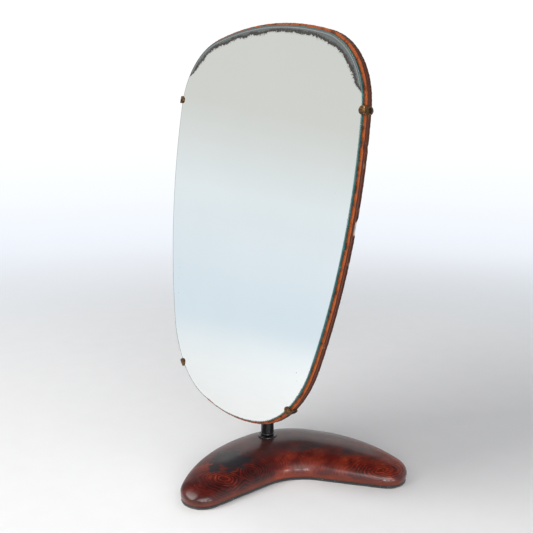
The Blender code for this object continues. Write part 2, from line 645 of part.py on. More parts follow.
# ================================================================ clips
def clip_stations():
    """Stations along the strip from the lip's tip to the leg's end.

    Each is a point (x, y) on the strip's middle line, the strip's outward normal there and its
    half width, which follows a half circle at both ends.
    """
    half_width = CLIP_WIDTH / 2
    lip_y = GLASS_FRONT_Y - GAP - CLIP_GAUGE / 2
    leg_x = GAP + CLIP_GAUGE / 2
    tip_x = -BOARD_OVERHANG - CLIP_REACH
    end_y = GLASS_FRONT_Y + CLIP_SCREW_SETBACK + half_width
    quarter = [math.pi / 2 * step / CLIP_END_STEPS for step in range(CLIP_END_STEPS + 1)]
    stations = [((tip_x + half_width * (1.0 - math.cos(turn)), lip_y), (0.0, -1.0),
                 half_width * math.sin(turn)) for turn in quarter]
    bend = CLIP_BEND_RADIUS
    for turn in quarter:
        stations.append(((leg_x - bend + bend * math.sin(turn), lip_y + bend - bend * math.cos(turn)),
                         (math.sin(turn), -math.cos(turn)), half_width))
    stations += [((leg_x, end_y - half_width * (1.0 - math.cos(turn))), (1.0, 0.0),
                  half_width * math.sin(turn)) for turn in reversed(quarter)]
    return stations


def make_clip(name, point, outward):
    """A bent brass strip: a round-ended lip over the glass and a round-ended leg on the edge."""
    frame = clip_frame(point, outward)
    bm = bmesh.new()
    loops = []
    for (x, y), normal, half_width in clip_stations():
        loops.append([bm.verts.new((x + side * normal[0] * CLIP_GAUGE / 2,
                                    y + side * normal[1] * CLIP_GAUGE / 2, edge * half_width))
                      for side, edge in ((1, 1), (1, -1), (-1, -1), (-1, 1))])
    for loop, next_loop in zip(loops, loops[1:]):
        for step in range(4):
            bm.faces.new((loop[step - 1], loop[step], next_loop[step], next_loop[step - 1]))
    bmesh.ops.remove_doubles(bm, verts=bm.verts, dist=1e-7)
    bmesh.ops.transform(bm, matrix=frame, verts=bm.verts)
    clip = add_object(name, bm, AGED_BRASS, tilt_axis)
    screw_y = GLASS_FRONT_Y + CLIP_SCREW_SETBACK
    at_screw = frame @ Matrix.Translation((0.0, screw_y, 0.0)) @ ALONG_X
    hole = bmesh.new()
    add_turned(hole, rod_profile(CLIP_SCREW_RADIUS + GAP, -CLIP_GAUGE, CLIP_GAUGE * 3),
               SMALL_STEPS, at_screw)
    cut(clip, f"cut_{name}_hole", hole, tilt_axis)
    pilot = bmesh.new()
    add_turned(pilot, rod_profile(CLIP_SCREW_RADIUS + GAP, -CLIP_SCREW_DEPTH - GAP, CLIP_SCREW_DEPTH),
               SMALL_STEPS, at_screw)
    cut(board, f"cut_{name}_pilot", pilot, tilt_axis)
    seat = GAP + CLIP_GAUGE + GAP
    screw = [(0.0, -CLIP_SCREW_DEPTH), (CLIP_SCREW_RADIUS, -CLIP_SCREW_DEPTH),
             (CLIP_SCREW_RADIUS, seat)]
    screw += [(radius, seat + rise)
              for radius, rise in button_head(CLIP_SCREW_HEAD_RADIUS, CLIP_SCREW_HEAD_HEIGHT)]
    turned(name.replace("clip", "clip_screw"), screw, AGED_BRASS, tilt_axis, SMALL_STEPS, at_screw)


for name, point, outward in clip_places():
    make_clip(name, point, outward)
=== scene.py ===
# %% [markdown]
# # A table-top mirror
# The real object is a frameless glass on a plywood board, held by a knuckle on a black post that
# turns in a domed rosewood base. The exact solids come from the imported model. Here each of them
# gets a finer surface and a finish, and keeps its place, because every piece uses the same metres.
# We load the model first.

# %% Load the fixed frame
import json
import math

import bmesh
import bpy
import numpy as np
from mathutils import Matrix


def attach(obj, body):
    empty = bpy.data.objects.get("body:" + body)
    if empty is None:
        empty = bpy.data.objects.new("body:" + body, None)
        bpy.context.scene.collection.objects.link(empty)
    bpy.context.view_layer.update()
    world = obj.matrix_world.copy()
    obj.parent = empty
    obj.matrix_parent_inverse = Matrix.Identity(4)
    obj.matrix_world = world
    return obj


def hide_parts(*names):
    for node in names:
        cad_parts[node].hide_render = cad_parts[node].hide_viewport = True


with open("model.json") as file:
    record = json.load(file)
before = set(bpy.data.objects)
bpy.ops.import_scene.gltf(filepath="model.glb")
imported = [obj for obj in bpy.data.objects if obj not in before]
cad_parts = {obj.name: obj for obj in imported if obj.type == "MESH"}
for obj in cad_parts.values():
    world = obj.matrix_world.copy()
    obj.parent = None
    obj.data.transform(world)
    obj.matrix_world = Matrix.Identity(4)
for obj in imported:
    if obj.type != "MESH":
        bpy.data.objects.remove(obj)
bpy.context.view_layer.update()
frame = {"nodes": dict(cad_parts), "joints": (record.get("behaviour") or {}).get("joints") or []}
nodes = frame["nodes"]

# %% [markdown]
# ## The tilted mirror's own axes
# The glass, its board and the knuckle were drawn facing -Y about the tilt axis, then leaned back
# and turned about the post. The tilt joint gives the turn, because its axis lies along the board.
# One matrix takes any drawn point to its place, and everything on the mirror uses it.

# %% Axes of the mirror and of the post's head
tilt = next(joint for joint in frame["joints"] if joint["name"] == "tilt")
PIVOT_HEIGHT = tilt["pos_m"][2]
SWIVEL = math.atan2(tilt["axis"][1], tilt["axis"][0])
LEAN = math.radians(7.8)
on_post = Matrix.Rotation(SWIVEL, 4, "Z") @ Matrix.Translation((0.0, 0.0, PIVOT_HEIGHT))
on_mirror = on_post @ Matrix.Rotation(-LEAN, 4, "X")
along_x = Matrix.Rotation(math.radians(90), 4, "Y")
backwards = Matrix.Rotation(math.radians(-90), 4, "X")
print("turned", round(math.degrees(SWIVEL), 1), "degrees, pivot at", PIVOT_HEIGHT, "m")

# %% [markdown]
# ## Outlines from arcs
# Glass and base were both drawn with compasses: arcs that run into each other without a corner.
# A chain of arcs needs only a radius and a heading for each, and stays smooth at any fineness.

# %% Arcs and closed outlines
GAP = 0.0003


def arc(start, heading, radius, end_heading, steps):
    """Points after start on an arc: the radius times the change of (sin, -cos) of the heading."""
    turn = heading + (end_heading - heading) * np.arange(1, steps + 1) / steps
    side = math.copysign(radius, end_heading - heading)
    return np.column_stack((start[0] + side * (np.sin(turn) - math.sin(heading)),
                            start[1] + side * (math.cos(heading) - np.cos(turn))))


def closed(half):
    """The half outline followed by its mirror image in x = 0, without the shared ends."""
    return np.vstack((half, half[-2:0:-1] * (-1.0, 1.0)))


def moved_in(outline, inset):
    """Each point moved left of its direction of travel, which is inwards, by the inset."""
    ahead = np.roll(outline, -1, axis=0) - np.roll(outline, 1, axis=0)
    ahead /= np.linalg.norm(ahead, axis=1)[:, None]
    return outline + np.column_stack((-ahead[:, 1], ahead[:, 0])) * np.reshape(inset, (-1, 1))


print("an eighth of a 10 mm circle ends at", arc((0, 0), 0.0, 0.01, math.pi / 4, 4)[-1].round(4))

# %% [markdown]
# ## From grids of points to pieces
# Every new surface is a grid: rows run one way, columns run round. Neighbouring points make a
# quad, and the open ends are closed with one face each. Points that fall together, as at the pole
# of a turned piece, are merged, so the skin has no hole and its faces can be turned outwards.

# %% The grid builder
SHARP_ANGLE = math.radians(32.0)


def make_piece(name, points, finishes, ends=True, loop_rows=False, maps=None,
               finish_of_rows=None, sharp_angle=SHARP_ANGLE):
    """Mesh of a grid of points (rows, columns, 3), whose last column joins the first.

    loop_rows joins the last row to the first, and ends closes the first and last row with a face.
    maps holds UV grids with one more column than the points, so a map can end where it began.
    """
    rows, columns = points.shape[:2]
    i = np.arange(rows if loop_rows else rows - 1)[:, None]
    j = np.arange(columns)[None, :]
    below, right = (i + 1) % rows, (j + 1) % columns
    quads = np.stack((i * columns + j, i * columns + right, below * columns + right,
                      below * columns + j), axis=-1).reshape(-1, 4)
    faces = quads.tolist()
    if ends:
        faces += [list(range(columns))[::-1], list(range((rows - 1) * columns, rows * columns))]
    mesh = bpy.data.meshes.new(name)
    mesh.from_pydata(points.reshape(-1, 3).tolist(), [], faces)
    for label, grid in (maps or {}).items():
        corners = np.stack((grid[i, j], grid[i, j + 1], grid[i + 1, j + 1], grid[i + 1, j]), axis=2)
        values = [corners.reshape(-1, 2)]
        if ends:
            values += [grid[0, :columns][::-1], grid[-1, :columns]]
        layer = mesh.uv_layers.new(name=label)
        layer.uv.foreach_set("vector", np.vstack(values).astype(np.float32).ravel())
    if finish_of_rows is not None:
        used = np.repeat(finish_of_rows, quads.shape[0] // len(finish_of_rows)).tolist()
        if ends:
            used += [finish_of_rows[0], finish_of_rows[-1]]
        mesh.polygons.foreach_set("material_index", used)
    merged = bmesh.new()
    merged.from_mesh(mesh)
    bmesh.ops.remove_doubles(merged, verts=merged.verts, dist=2e-7)
    bmesh.ops.dissolve_degenerate(merged, edges=merged.edges, dist=1e-8)
    bmesh.ops.recalc_face_normals(merged, faces=merged.faces)
    merged.to_mesh(mesh)
    merged.free()
    mesh.shade_smooth()
    mesh.set_sharp_from_angle(angle=sharp_angle)
    for finish in finishes:
        mesh.materials.append(finish)
    piece = bpy.data.objects.new(name, mesh)
    bpy.context.scene.collection.objects.link(piece)
    return piece


def placed(points, matrix):
    """The points of any grid after the matrix's turn and shift."""
    m = np.array(matrix)
    return points @ m[:3, :3].T + m[:3, 3]


def raised(outline, heights, insets, matrix):
    """Grid whose rows are the outline moved in by each inset and lifted to each height."""
    rows = [np.column_stack((moved_in(outline, inset), np.full(len(outline), height)))
            for height, inset in zip(heights, insets)]
    return placed(np.array(rows), matrix)


def softened(profile, radius, steps=4):
    """The profile with each inner corner replaced by a short curve.

    The curve starts and ends one radius from the corner, and its points are the start, the corner
    and the end weighted (1-t)^2, 2t(1-t) and t^2.
    """
    p = np.array(profile, dtype=float)
    before, corner, after = p[:-2], p[1:-1], p[2:]
    back, ahead = before - corner, after - corner
    reach_back = np.minimum(radius, 0.48 * np.linalg.norm(back, axis=1))[:, None]
    reach_ahead = np.minimum(radius, 0.48 * np.linalg.norm(ahead, axis=1))[:, None]
    a = corner + back / np.linalg.norm(back, axis=1)[:, None] * reach_back
    b = corner + ahead / np.linalg.norm(ahead, axis=1)[:, None] * reach_ahead
    t = np.linspace(0.0, 1.0, steps)[None, :, None]
    curve = (1 - t) ** 2 * a[:, None] + 2 * t * (1 - t) * corner[:, None] + t ** 2 * b[:, None]
    return np.vstack((p[:1], curve.reshape(-1, 2), p[-1:]))


def lathe(profile, matrix, steps=72, flutes=0, flute_depth=0.0):
    """Grid of a turned piece: each (radius, height) of the profile is carried round the axis.

    Flutes take depth x (1 - cos(flutes x angle)) / 2 off the outermost radii.
    """
    angle = 2 * math.pi * np.arange(steps) / steps
    radius = profile[:, :1] * np.ones((1, steps))
    outer = np.clip((radius / profile[:, 0].max() - 0.75) / 0.25, 0.0, 1.0)
    radius = radius - flute_depth * outer * (1 - np.cos(flutes * angle))[None, :] / 2
    height = profile[:, 1:] * np.ones((1, steps))
    grid = np.stack((radius * np.cos(angle), radius * np.sin(angle), height), axis=-1)
    return placed(grid, matrix)


def turned(name, profile, finish, matrix=Matrix(), steps=72, **flutes):
    """A turned piece. A profile that leaves the axis out is a ring, so its rows close up."""
    ring = profile[:, 0].min() > 1e-6
    grid = lathe(profile, matrix, steps, **flutes)
    return make_piece(name, grid, [finish], ends=False, loop_rows=ring)


def rod(radius, low, high):
    """Profile of a plain cylinder, for boring a hole."""
    return np.array([(0.0, low), (radius, low), (radius, high), (0.0, high)])


def worked(piece, tools, operation="DIFFERENCE"):
    """Cut the tools out of the piece, or join them to it, with exact Booleans kept in the mesh."""
    for tool in tools:
        modifier = piece.modifiers.new(tool.name, "BOOLEAN")
        modifier.operation = operation
        modifier.solver = "EXACT"
        modifier.object = tool
    graph = bpy.context.evaluated_depsgraph_get()
    mesh = bpy.data.meshes.new_from_object(piece.evaluated_get(graph))
    piece.modifiers.clear()
    piece.data = mesh
    for tool in tools:
        bpy.data.objects.remove(tool, do_unlink=True)
    mesh.set_sharp_from_angle(angle=SHARP_ANGLE)
    return piece


def fit(piece, body, node):
    """Put the finished piece on its body, in the place of its solid, and hide the solid."""
    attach(piece, body)
    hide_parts(node)
    print(f"{piece.name}: {len(piece.data.polygons)} faces for {node}")


# %% [markdown]
# ## Writing finishes as formulas
# A finish is a graph of shader nodes. Building it wire by wire hides what it does, so one small
# class wraps an output and gives it + - * and /, and a Finish makes every other node with one
# method: the node's type, its settings, and the values or wires of its sockets.

# %% Formulas and finishes
class Wire:
    """An output of a shader node, usable in a formula."""

    def __init__(self, finish, socket):
        self.finish, self.socket = finish, socket

    def __add__(self, other):
        return self.finish.maths("ADD", self, other)

    def __sub__(self, other):
        return self.finish.maths("SUBTRACT", self, other)

    def __rsub__(self, other):
        return self.finish.maths("SUBTRACT", other, self)

    def __mul__(self, other):
        return self.finish.maths("MULTIPLY", self, other)

    def __truediv__(self, other):
        return self.finish.maths("DIVIDE", self, other)

    __radd__, __rmul__ = __add__, __mul__


class Finish:
    """A material, with the fixed numbers of its shader set on the shader's own sockets."""

    def __init__(self, name, **fixed):
        self.material = bpy.data.materials.new(name)
        self.material.use_nodes = True
        self.tree = self.material.node_tree
        self.shader = self.tree.nodes["Principled BSDF"]
        for socket, value in fixed.items():
            self.shader.inputs[socket.replace("_", " ")].default_value = value

    def feed(self, socket, value):
        """Set a socket to a number, vector or colour, or wire it."""
        if isinstance(value, Wire):
            self.tree.links.new(value.socket, socket)
        else:
            socket.default_value = value

    def node(self, kind, settings=None, values=None, output=0):
        """Any node: its type, its settings, its sockets' values, and which output is wanted."""
        made = self.tree.nodes.new(kind)
        for key, value in (settings or {}).items():
            if key == "stops":
                elements = made.color_ramp.elements
                elements[0].position, elements[1].position = value[0][0], value[-1][0]
                elements[0].color, elements[1].color = value[0][1], value[-1][1]
                for position, colour in value[1:-1]:
                    elements.new(position).color = colour
            else:
                setattr(made, key, value)
        for key, value in (values or {}).items():
            self.feed(made.inputs[key], value)
        return Wire(self, made.outputs[output])

    def maths(self, operation, *values):
        """A Math node on numbers."""
        return self.node("ShaderNodeMath", {"operation": operation}, dict(enumerate(values)))

    def mix(self, share, a, b, blend="MIX"):
        """Colour a where share is 0 and b where it is 1."""
        colours = [value if isinstance(value, Wire) else (*value, 1.0) for value in (a, b)]
        return self.node("ShaderNodeMix", {"data_type": "RGBA", "blend_type": blend},
                         {0: share, 6: colours[0], 7: colours[1]}, 2)

    def ramp(self, value, stops):
        """A colour for each value, from stops of (position, (r, g, b))."""
        return self.node("ShaderNodeValToRGB",
                         {"stops": [(at, (*colour, 1.0)) for at, colour in stops]}, {0: value})

    def step(self, value, low, high):
        """0 below low, 1 above high, and a smooth rise between."""
        return self.node("ShaderNodeMapRange", {"interpolation_type": "SMOOTHSTEP"},
                         {0: value, 1: low, 2: high, 3: 0.0, 4: 1.0})

    def solid(self, centre=(0, 0, 0), turn=(0, 0, 0), scale=(1, 1, 1)):
        """Metres in the object, measured from a centre, then turned and stretched."""
        shifted = self.node("ShaderNodeVectorMath", {"operation": "SUBTRACT"},
                            {0: self.node("ShaderNodeTexCoord", output="Object"), 1: centre})
        return self.node("ShaderNodeMapping", {"vector_type": "POINT"},
                         {0: shifted, 2: turn, 3: scale})

    def skin(self, name):
        """A UV map of the piece."""
        return self.node("ShaderNodeUVMap", {"uv_map": name})

    def part(self, vector, axis):
        """One of the three numbers of a vector."""
        return self.node("ShaderNodeSeparateXYZ", None, {0: vector}, "XYZ".index(axis))

    def stretched(self, vector, scale):
        """A vector times a scale for each axis."""
        return self.node("ShaderNodeVectorMath", {"operation": "MULTIPLY"}, {0: vector, 1: scale})

    def apart(self, vector, point=(0.0, 0.0, 0.0)):
        """Distance between a vector and a point."""
        return self.node("ShaderNodeVectorMath", {"operation": "DISTANCE"},
                         {0: vector, 1: point}, "Value")

    def highest(self, *values):
        """The largest of some values."""
        top, *rest = values
        for value in rest:
            top = self.maths("MAXIMUM", top, value)
        return top

    def noise(self, vector, scale, detail=3.0, roughness=0.55, distortion=0.0):
        """Cloudy values from about 0.3 to 0.7; the scale is in lumps per metre."""
        return self.node("ShaderNodeTexNoise", None, {
            "Vector": vector, "Scale": scale, "Detail": detail, "Roughness": roughness,
            "Distortion": distortion})

    def cells(self, vector, scale, feature="F1"):
        """Distance to the nearest of many scattered points, in units of their spacing."""
        return self.node("ShaderNodeTexVoronoi", {"feature": feature},
                         {"Vector": vector, "Scale": scale}, "Distance")

    def blot(self, centre, size, ragged=0.0, lumps=120.0):
        """1 inside an ellipsoid of half sizes in metres, with a ragged edge, and 0 outside."""
        local = self.solid(centre, scale=tuple(1 / s for s in size))
        edge = self.apart(local) + (self.noise(self.solid(), lumps, 4.0) - 0.5) * ragged
        return self.step(edge, 1.15, 0.75)

    def bumps(self, height, depth):
        """Relief from a height of 0 to 1; depth is in metres."""
        return self.node("ShaderNodeBump", None,
                         {"Height": height, "Distance": depth, "Strength": 1.0})

    def surface(self, **varying):
        """Wire what changes over the surface, and give back the material."""
        for socket, value in varying.items():
            self.feed(self.shader.inputs[socket.replace("_", " ")], value)
        return self.material


print("ready to write finishes")

# %% [markdown]
# ## The rosewood
# The base is one block of dark red-brown wood under a clear lacquer. Where the dome cuts the
# growth rings almost flat they show as ovals, so the figure is made of distances from a few
# eyes, warped a little, rather than straight stripes. Old water stains left blue-black patches.

# %% Rosewood finish
def rosewood():
    """Growth rings round eyes, stains and a few knocks under lacquer, with painted light: a grey
    reflection on the crown, a warm glow along the foot and two small glints.

    The lacquer has worn thin on the slopes, so its weight is 0.14 there, and it rises towards the
    hazy crown and towards the foot, where it pooled.
    """
    wood = Finish("rosewood", IOR=1.5, Coat_IOR=1.5, Coat_Roughness=0.20, Specular_IOR_Level=0.12)
    place = wood.solid()
    sway = wood.noise(place, 26.0, 3.0)
    fine_sway = wood.noise(place, 95.0, 4.0)
    broad = wood.noise(wood.stretched(place, (0.6, 1.2, 1.2)), 15.0, 4.0, 0.6)
    eyes = (((0.1140, -0.0880, 0.0200), (0, 0, 0.42), (0.75, 1.9, 1.9)),
            ((-0.0660, -0.0760, 0.0250), (0, 0, -0.42), (1.0, 1.5, 1.6)),
            ((-0.0340, -0.0620, 0.0260), (0, 0, -0.9), (1.2, 1.7, 1.5)),
            ((0.0500, 0.0350, 0.0300), (0, 0, 0.1), (0.5, 1.8, 1.6)),
            ((-0.0800, 0.0200, 0.0250), (0, 0, -0.5), (0.6, 1.7, 1.7)))
    reach = None
    for centre, turn, scale in eyes:
        away = wood.apart(wood.solid(centre, turn, scale))
        reach = away if reach is None else wood.maths("SMOOTH_MIN", reach, away, 0.02)
    rings = reach * 1350.0 + sway * 42.0 + fine_sway * 9.0
    band = wood.maths("SINE", rings) * 0.5 + 0.5
    thin = wood.maths("SINE", rings * 2.7 + sway * 19.0) * 0.5 + 0.5
    patchy = wood.step(wood.noise(place, 48.0, 2.0), 0.36, 0.60)
    close = (wood.step(reach, 0.050, 0.008) * 0.80 + 0.20) * (patchy * 0.8 + 0.2)
    pores = wood.noise(wood.stretched(place, (0.35, 1.0, 1.0)), 900.0, 2.0)
    cloud = wood.noise(place, 60.0, 5.0, 0.62)
    tone = (((band - 0.5) * 0.44 + (thin - 0.5) * 0.20) * close + (cloud - 0.5) * 1.1
            + (broad - 0.5) * 1.5 + 0.37)
    colour = wood.ramp(tone, ((0.05, (0.018, 0.0020, 0.0016)), (0.38, (0.066, 0.0056, 0.0036)),
                              (0.62, (0.150, 0.0175, 0.0075)), (0.95, (0.330, 0.0680, 0.0210))))
    colour = wood.mix(wood.step(pores, 0.60, 0.74) * 0.55, colour, (0.012, 0.003, 0.003))
    height = wood.part(place, "Z")
    # Painted light: the lowest centimetre of the wood is lightened to warm orange, a glow reflected
    # up from below.
    colour = wood.mix(wood.step(height + (sway - 0.5) * 0.008, 0.0125, 0.0055) * 0.35, colour,
                      (0.230, 0.046, 0.018))
    crown = wood.step(height + (sway - 0.5) * 0.012, 0.0255, 0.0365)
    # Painted reflection: the crown's colour is greyed, as if it mirrored the pale wall.
    colour = wood.mix(crown * 0.60, colour, (0.046, 0.019, 0.017))
    dark = wood.blot((-0.0560, -0.0450, 0.0332), (0.021, 0.019, 0.02), 2.6, 110.0)
    dark = wood.highest(dark, wood.blot((-0.0760, -0.0560, 0.0300), (0.008, 0.010, 0.02), 2.2))
    soft = wood.highest(wood.blot((0.0400, -0.0340, 0.0352), (0.026, 0.006, 0.01), 1.0),
                        wood.blot((0.0980, -0.0540, 0.0320), (0.026, 0.009, 0.02), 1.2),
                        wood.blot((-0.0300, 0.0300, 0.0320), (0.020, 0.010, 0.02), 1.3))
    colour = wood.mix(dark * 0.88, colour, (0.010, 0.012, 0.015))
    colour = wood.mix(soft * 0.50, colour, (0.028, 0.030, 0.032))
    # Painted highlights: two small pale glints at fixed places on the dome.
    painted_glints = wood.highest(wood.blot((-0.0389, -0.0691, 0.0219), (0.0013, 0.0013, 0.0013)),
                          wood.blot((0.0522, -0.0540, 0.0277), (0.0011, 0.0011, 0.0011)))
    dust = wood.step(wood.cells(place, 210.0), 0.085, 0.045) * wood.step(fine_sway, 0.56, 0.60)
    # One pale colour serves for the painted glints and for the real dust.
    colour = wood.mix(wood.highest(painted_glints * 0.9, dust * 0.30), colour, (0.62, 0.45, 0.30))
    scuffs = wood.noise(wood.stretched(place, (0.2, 1.0, 1.0)), 420.0, 4.0, 0.7)
    rough = 0.30 + scuffs * 0.20 + dark * 0.08 + crown * 0.06
    pooled = wood.step(height + (sway - 0.5) * 0.004, 0.0185, 0.0115)
    coat = 0.14 + crown * 0.42 + pooled * 0.60 + dark * 0.10
    relief = wood.bumps(band * 0.35 + scuffs * 0.4 + fine_sway, 0.00009)
    return wood.surface(Base_Color=colour, Roughness=rough, Coat_Weight=coat, Normal=relief)


ROSEWOOD = rosewood()
print("rosewood:", len(ROSEWOOD.node_tree.nodes), "nodes")

# %% [markdown]
# ## The base block
# The block could be carved from a subdivided cube, but its outline is exact: a hollow front,
# straight arms, round tips and a long curved back. Ribs cross it from front to back. Each rises
# from an upright edge over the dome and comes down behind, so the whole skin is one grid.

# %% Outline of the base
BASE_CENTRE_X, BASE_FRONT_Y = 0.0182, -0.0515
BASE_EDGE, BASE_CROWN, BASE_FOOT = 0.0115, 0.0382, 0.0033
FRONT_EDGE_DROP, FRONT_FULLNESS, BACK_FULLNESS = 0.0050, 2.4, 3.0
BASE_HOLLOW_RADIUS, BASE_TIP_RADIUS = 0.061, 0.0259
BASE_SIDE_RADIUS, BASE_CROWN_RADIUS = 0.1663, 0.1105
BASE_SLOPE, BASE_TIP_TURN, BASE_BACK_TURN = np.radians((-27.8, 110.4, 157.1))
HOLLOW_STEPS, ARM_STEPS, TIP_STEPS, BACK_STEPS, CROWN_STEPS = 20, 36, 48, 32, 24


def base_half(inset):
    """Half the outline moved in: hollow arc, straight arm, round tip, back arc and crown arc.

    The arm is as long as it must be for the crown arc to end on the middle line.
    """
    hollow, tip = BASE_HOLLOW_RADIUS + inset, BASE_TIP_RADIUS - inset
    side, crown = BASE_SIDE_RADIUS - inset, BASE_CROWN_RADIUS - inset
    sines = np.sin((BASE_SLOPE, BASE_TIP_TURN, BASE_BACK_TURN))
    across = (-hollow * sines[0] + tip * (sines[1] - sines[0]) + side * (sines[2] - sines[1])
              - crown * sines[2])
    run = -across / math.cos(BASE_SLOPE) * np.arange(1, ARM_STEPS + 1) / ARM_STEPS
    half = np.vstack(([(0.0, BASE_FRONT_Y + inset)],
                      arc((0.0, BASE_FRONT_Y + inset), 0.0, hollow, BASE_SLOPE, HOLLOW_STEPS)))
    half = np.vstack((half, half[-1] + np.outer(run, (math.cos(BASE_SLOPE), math.sin(BASE_SLOPE)))))
    half = np.vstack((half, arc(half[-1], BASE_SLOPE, tip, BASE_TIP_TURN, TIP_STEPS)))
    half = np.vstack((half, arc(half[-1], BASE_TIP_TURN, side, BASE_BACK_TURN, BACK_STEPS)))
    half = np.vstack((half, arc(half[-1], BASE_BACK_TURN, crown, math.pi, CROWN_STEPS)))
    half[-1, 0] = 0.0
    return half


def base_ribs(inset):
    """Front and back ends of the ribs, from the left tip to the right tip, as (ribs, 2, 2)."""
    half = base_half(inset)
    tip = HOLLOW_STEPS + ARM_STEPS + TIP_STEPS // 2
    right = np.stack((half[:tip + 1], half[::-1][:tip + 1]), axis=1)
    left = right[:0:-1] * (-1.0, 1.0)
    return np.vstack((left, right))


ribs = base_ribs(0.0)
print("ribs:", len(ribs), "half length", ribs[-1, 0, 0].round(4), "m")

# %% The domed block, with its seat, bore and recess
BUSH_FLANGE_RADIUS, BUSH_SHANK_RADIUS = 0.0115, 0.0065
SEAT_HEIGHT = BASE_CROWN - 0.0012
RECESS_RADIUS, RECESS_TOP = 0.017, BASE_FOOT + 0.014


def base_points():
    """Each rib goes up the front wall, over the dome and down the back wall.

    The dome is edge height + rise x sqrt(1 - |across|^fullness), where across runs from -1 to 1
    and the fullness is less in front than behind, so the front slopes more gently. The front edge
    is up to 5 mm lower than the back's. The rise falls off along the arms as
    1 - |x / half length|^2.4 and rounds off at narrow ribs.
    """
    across = -np.cos(np.pi * np.arange(57) / 56)
    share = ((1 + across) / 2)[None, :, None]
    flat = ribs[:, None, 0] + (ribs[:, None, 1] - ribs[:, None, 0]) * share
    half_width = np.linalg.norm(ribs[:, 1] - ribs[:, 0], axis=1) / 2
    end_round = 1 - (1 - np.minimum(half_width / BASE_TIP_RADIUS, 1.0)) ** 2
    fall = (np.abs(ribs[:, 0, 0]) / ribs[-1, 0, 0]) ** 2.4
    rise = (BASE_CROWN - BASE_EDGE) * (1 - fall) * end_round
    fullness = np.where(across < 0.0, FRONT_FULLNESS, BACK_FULLNESS)
    low = FRONT_EDGE_DROP * end_round ** 2
    edge = BASE_EDGE - np.column_stack((low, 0.0 * low))
    from_edge = np.where(across[None, :] < 0.0, edge[:, :1], edge[:, 1:])
    bulge = np.sqrt(1 - np.abs(across) ** fullness)
    height = from_edge + (BASE_EDGE + rise[:, None] - from_edge) * bulge
    walls = []
    for drop in np.linspace(1.0, 0.0, 9)[:-1]:
        ends = base_ribs(0.0015 * drop ** 3)
        walls.append(np.dstack((ends, edge + (BASE_FOOT - edge) * drop)))
    dome = np.concatenate((flat, height[..., None]), axis=2)
    front = np.stack([wall[:, 0] for wall in walls], axis=1)
    back = np.stack([wall[:, 1] for wall in walls[::-1]], axis=1)
    return np.concatenate((front, dome, back), axis=1) + (BASE_CENTRE_X, 0.0, 0.0)


wooden_base = make_piece("wooden_base", base_points(), [ROSEWOOD], ends=False)
bush_hole, seat_hole = BUSH_SHANK_RADIUS + GAP, BUSH_FLANGE_RADIUS + GAP
hollow_out = np.array([(0.0, 0.0), (RECESS_RADIUS, 0.0), (RECESS_RADIUS, RECESS_TOP),
                       (bush_hole, RECESS_TOP), (bush_hole, SEAT_HEIGHT),
                       (seat_hole, SEAT_HEIGHT), (seat_hole, 0.06), (0.0, 0.06)])
worked(wooden_base, [turned("seat_tool", hollow_out, ROSEWOOD)])
fit(wooden_base, "base", "base_body")

# %% [markdown]
# ## The felt
# A black felt is glued under the wood, so that the base doesn't scratch a table. It is cut by
# hand a little inside the wood, and its edge is soft and slightly uneven and catches pale lint.

# %% Felt finish and pad
def felt_finish():
    """Matted fibres, nearly black, with a little pale lint."""
    felt = Finish("felt", Sheen_Weight=0.25, Sheen_Roughness=0.6)
    place = felt.solid()
    fibres = felt.noise(felt.stretched(place, (1.0, 1.0, 2.2)), 1900.0, 4.0, 0.7, 0.6)
    clumps = felt.step(felt.noise(place, 160.0), 0.50, 0.56)
    lint = felt.step(felt.cells(place, 330.0), 0.17, 0.10) * clumps
    colour = felt.ramp(fibres, ((0.30, (0.0035, 0.0040, 0.0050)), (0.72, (0.022, 0.025, 0.030))))
    colour = felt.mix(lint * 0.75, colour, (0.30, 0.36, 0.37))
    return felt.surface(Base_Color=colour, Roughness=0.85 + fibres * 0.12,
                        Normal=felt.bumps(fibres, 0.0004))


FELT = felt_finish()
PAD_TOP = 0.003


def pad_points():
    """The base's outline moved in, with a rounded edge: inset + bulge x (1 - sin(up the edge)).

    A slow wave of a few sines along the outline stands for the hand cut.
    """
    run = np.linspace(0.0, 2 * math.pi, len(closed(base_half(0.0))), endpoint=False)
    wave = (np.sin(23 * run) + np.sin(41 * run + 1.0) + np.sin(67 * run + 2.0)) / 3
    rows = []
    for up in np.linspace(0.0, 1.0, 9):
        inset = 0.0006 + 0.0009 * (1 - math.sin(math.pi * up)) ** 2 + 0.00018 * (1 + wave)
        outline = moved_in(closed(base_half(0.0)), inset) + (BASE_CENTRE_X, 0.0)
        rows.append(np.column_stack((outline, np.full(len(outline), PAD_TOP * up))))
    return np.array(rows)


felt_pad = make_piece("felt_pad", pad_points(), [FELT], sharp_angle=math.radians(60.0))
fit(felt_pad, "base", "base_pad")

# %% [markdown]
# ## Black enamel, steel, brass and fibre
# The small pieces share five finishes. Enamel is nearly black with the faint orange peel of
# sprayed paint. The clips are brass gone brown, brighter only where fingers rub them. Each
# finish varies its colour and its roughness together, because wear changes both.

# %% Metal and fibre finishes
def enamel_finish():
    """Glossy black paint with orange peel, hairlines and a little settled dust."""
    paint = Finish("black_enamel", IOR=1.5, Coat_IOR=1.5, Coat_Roughness=0.05,
                   Specular_IOR_Level=0.25)
    place = paint.solid()
    peel = paint.noise(place, 420.0, 2.0)
    hairs = paint.noise(paint.stretched(place, (1.0, 1.0, 0.08)), 1500.0, 3.0)
    dust = paint.step(paint.cells(place, 260.0), 0.10, 0.05) * paint.step(peel, 0.50, 0.56)
    colour = paint.mix(hairs, (0.0020, 0.0022, 0.0028), (0.007, 0.0072, 0.0085))
    colour = paint.mix(dust * 0.35, colour, (0.22, 0.21, 0.20))
    return paint.surface(Base_Color=colour, Roughness=0.14 + hairs * 0.16 + dust * 0.3,
                         Coat_Weight=0.40 - dust * 0.3,
                         Normal=paint.bumps(peel + hairs * 0.2, 0.00005))


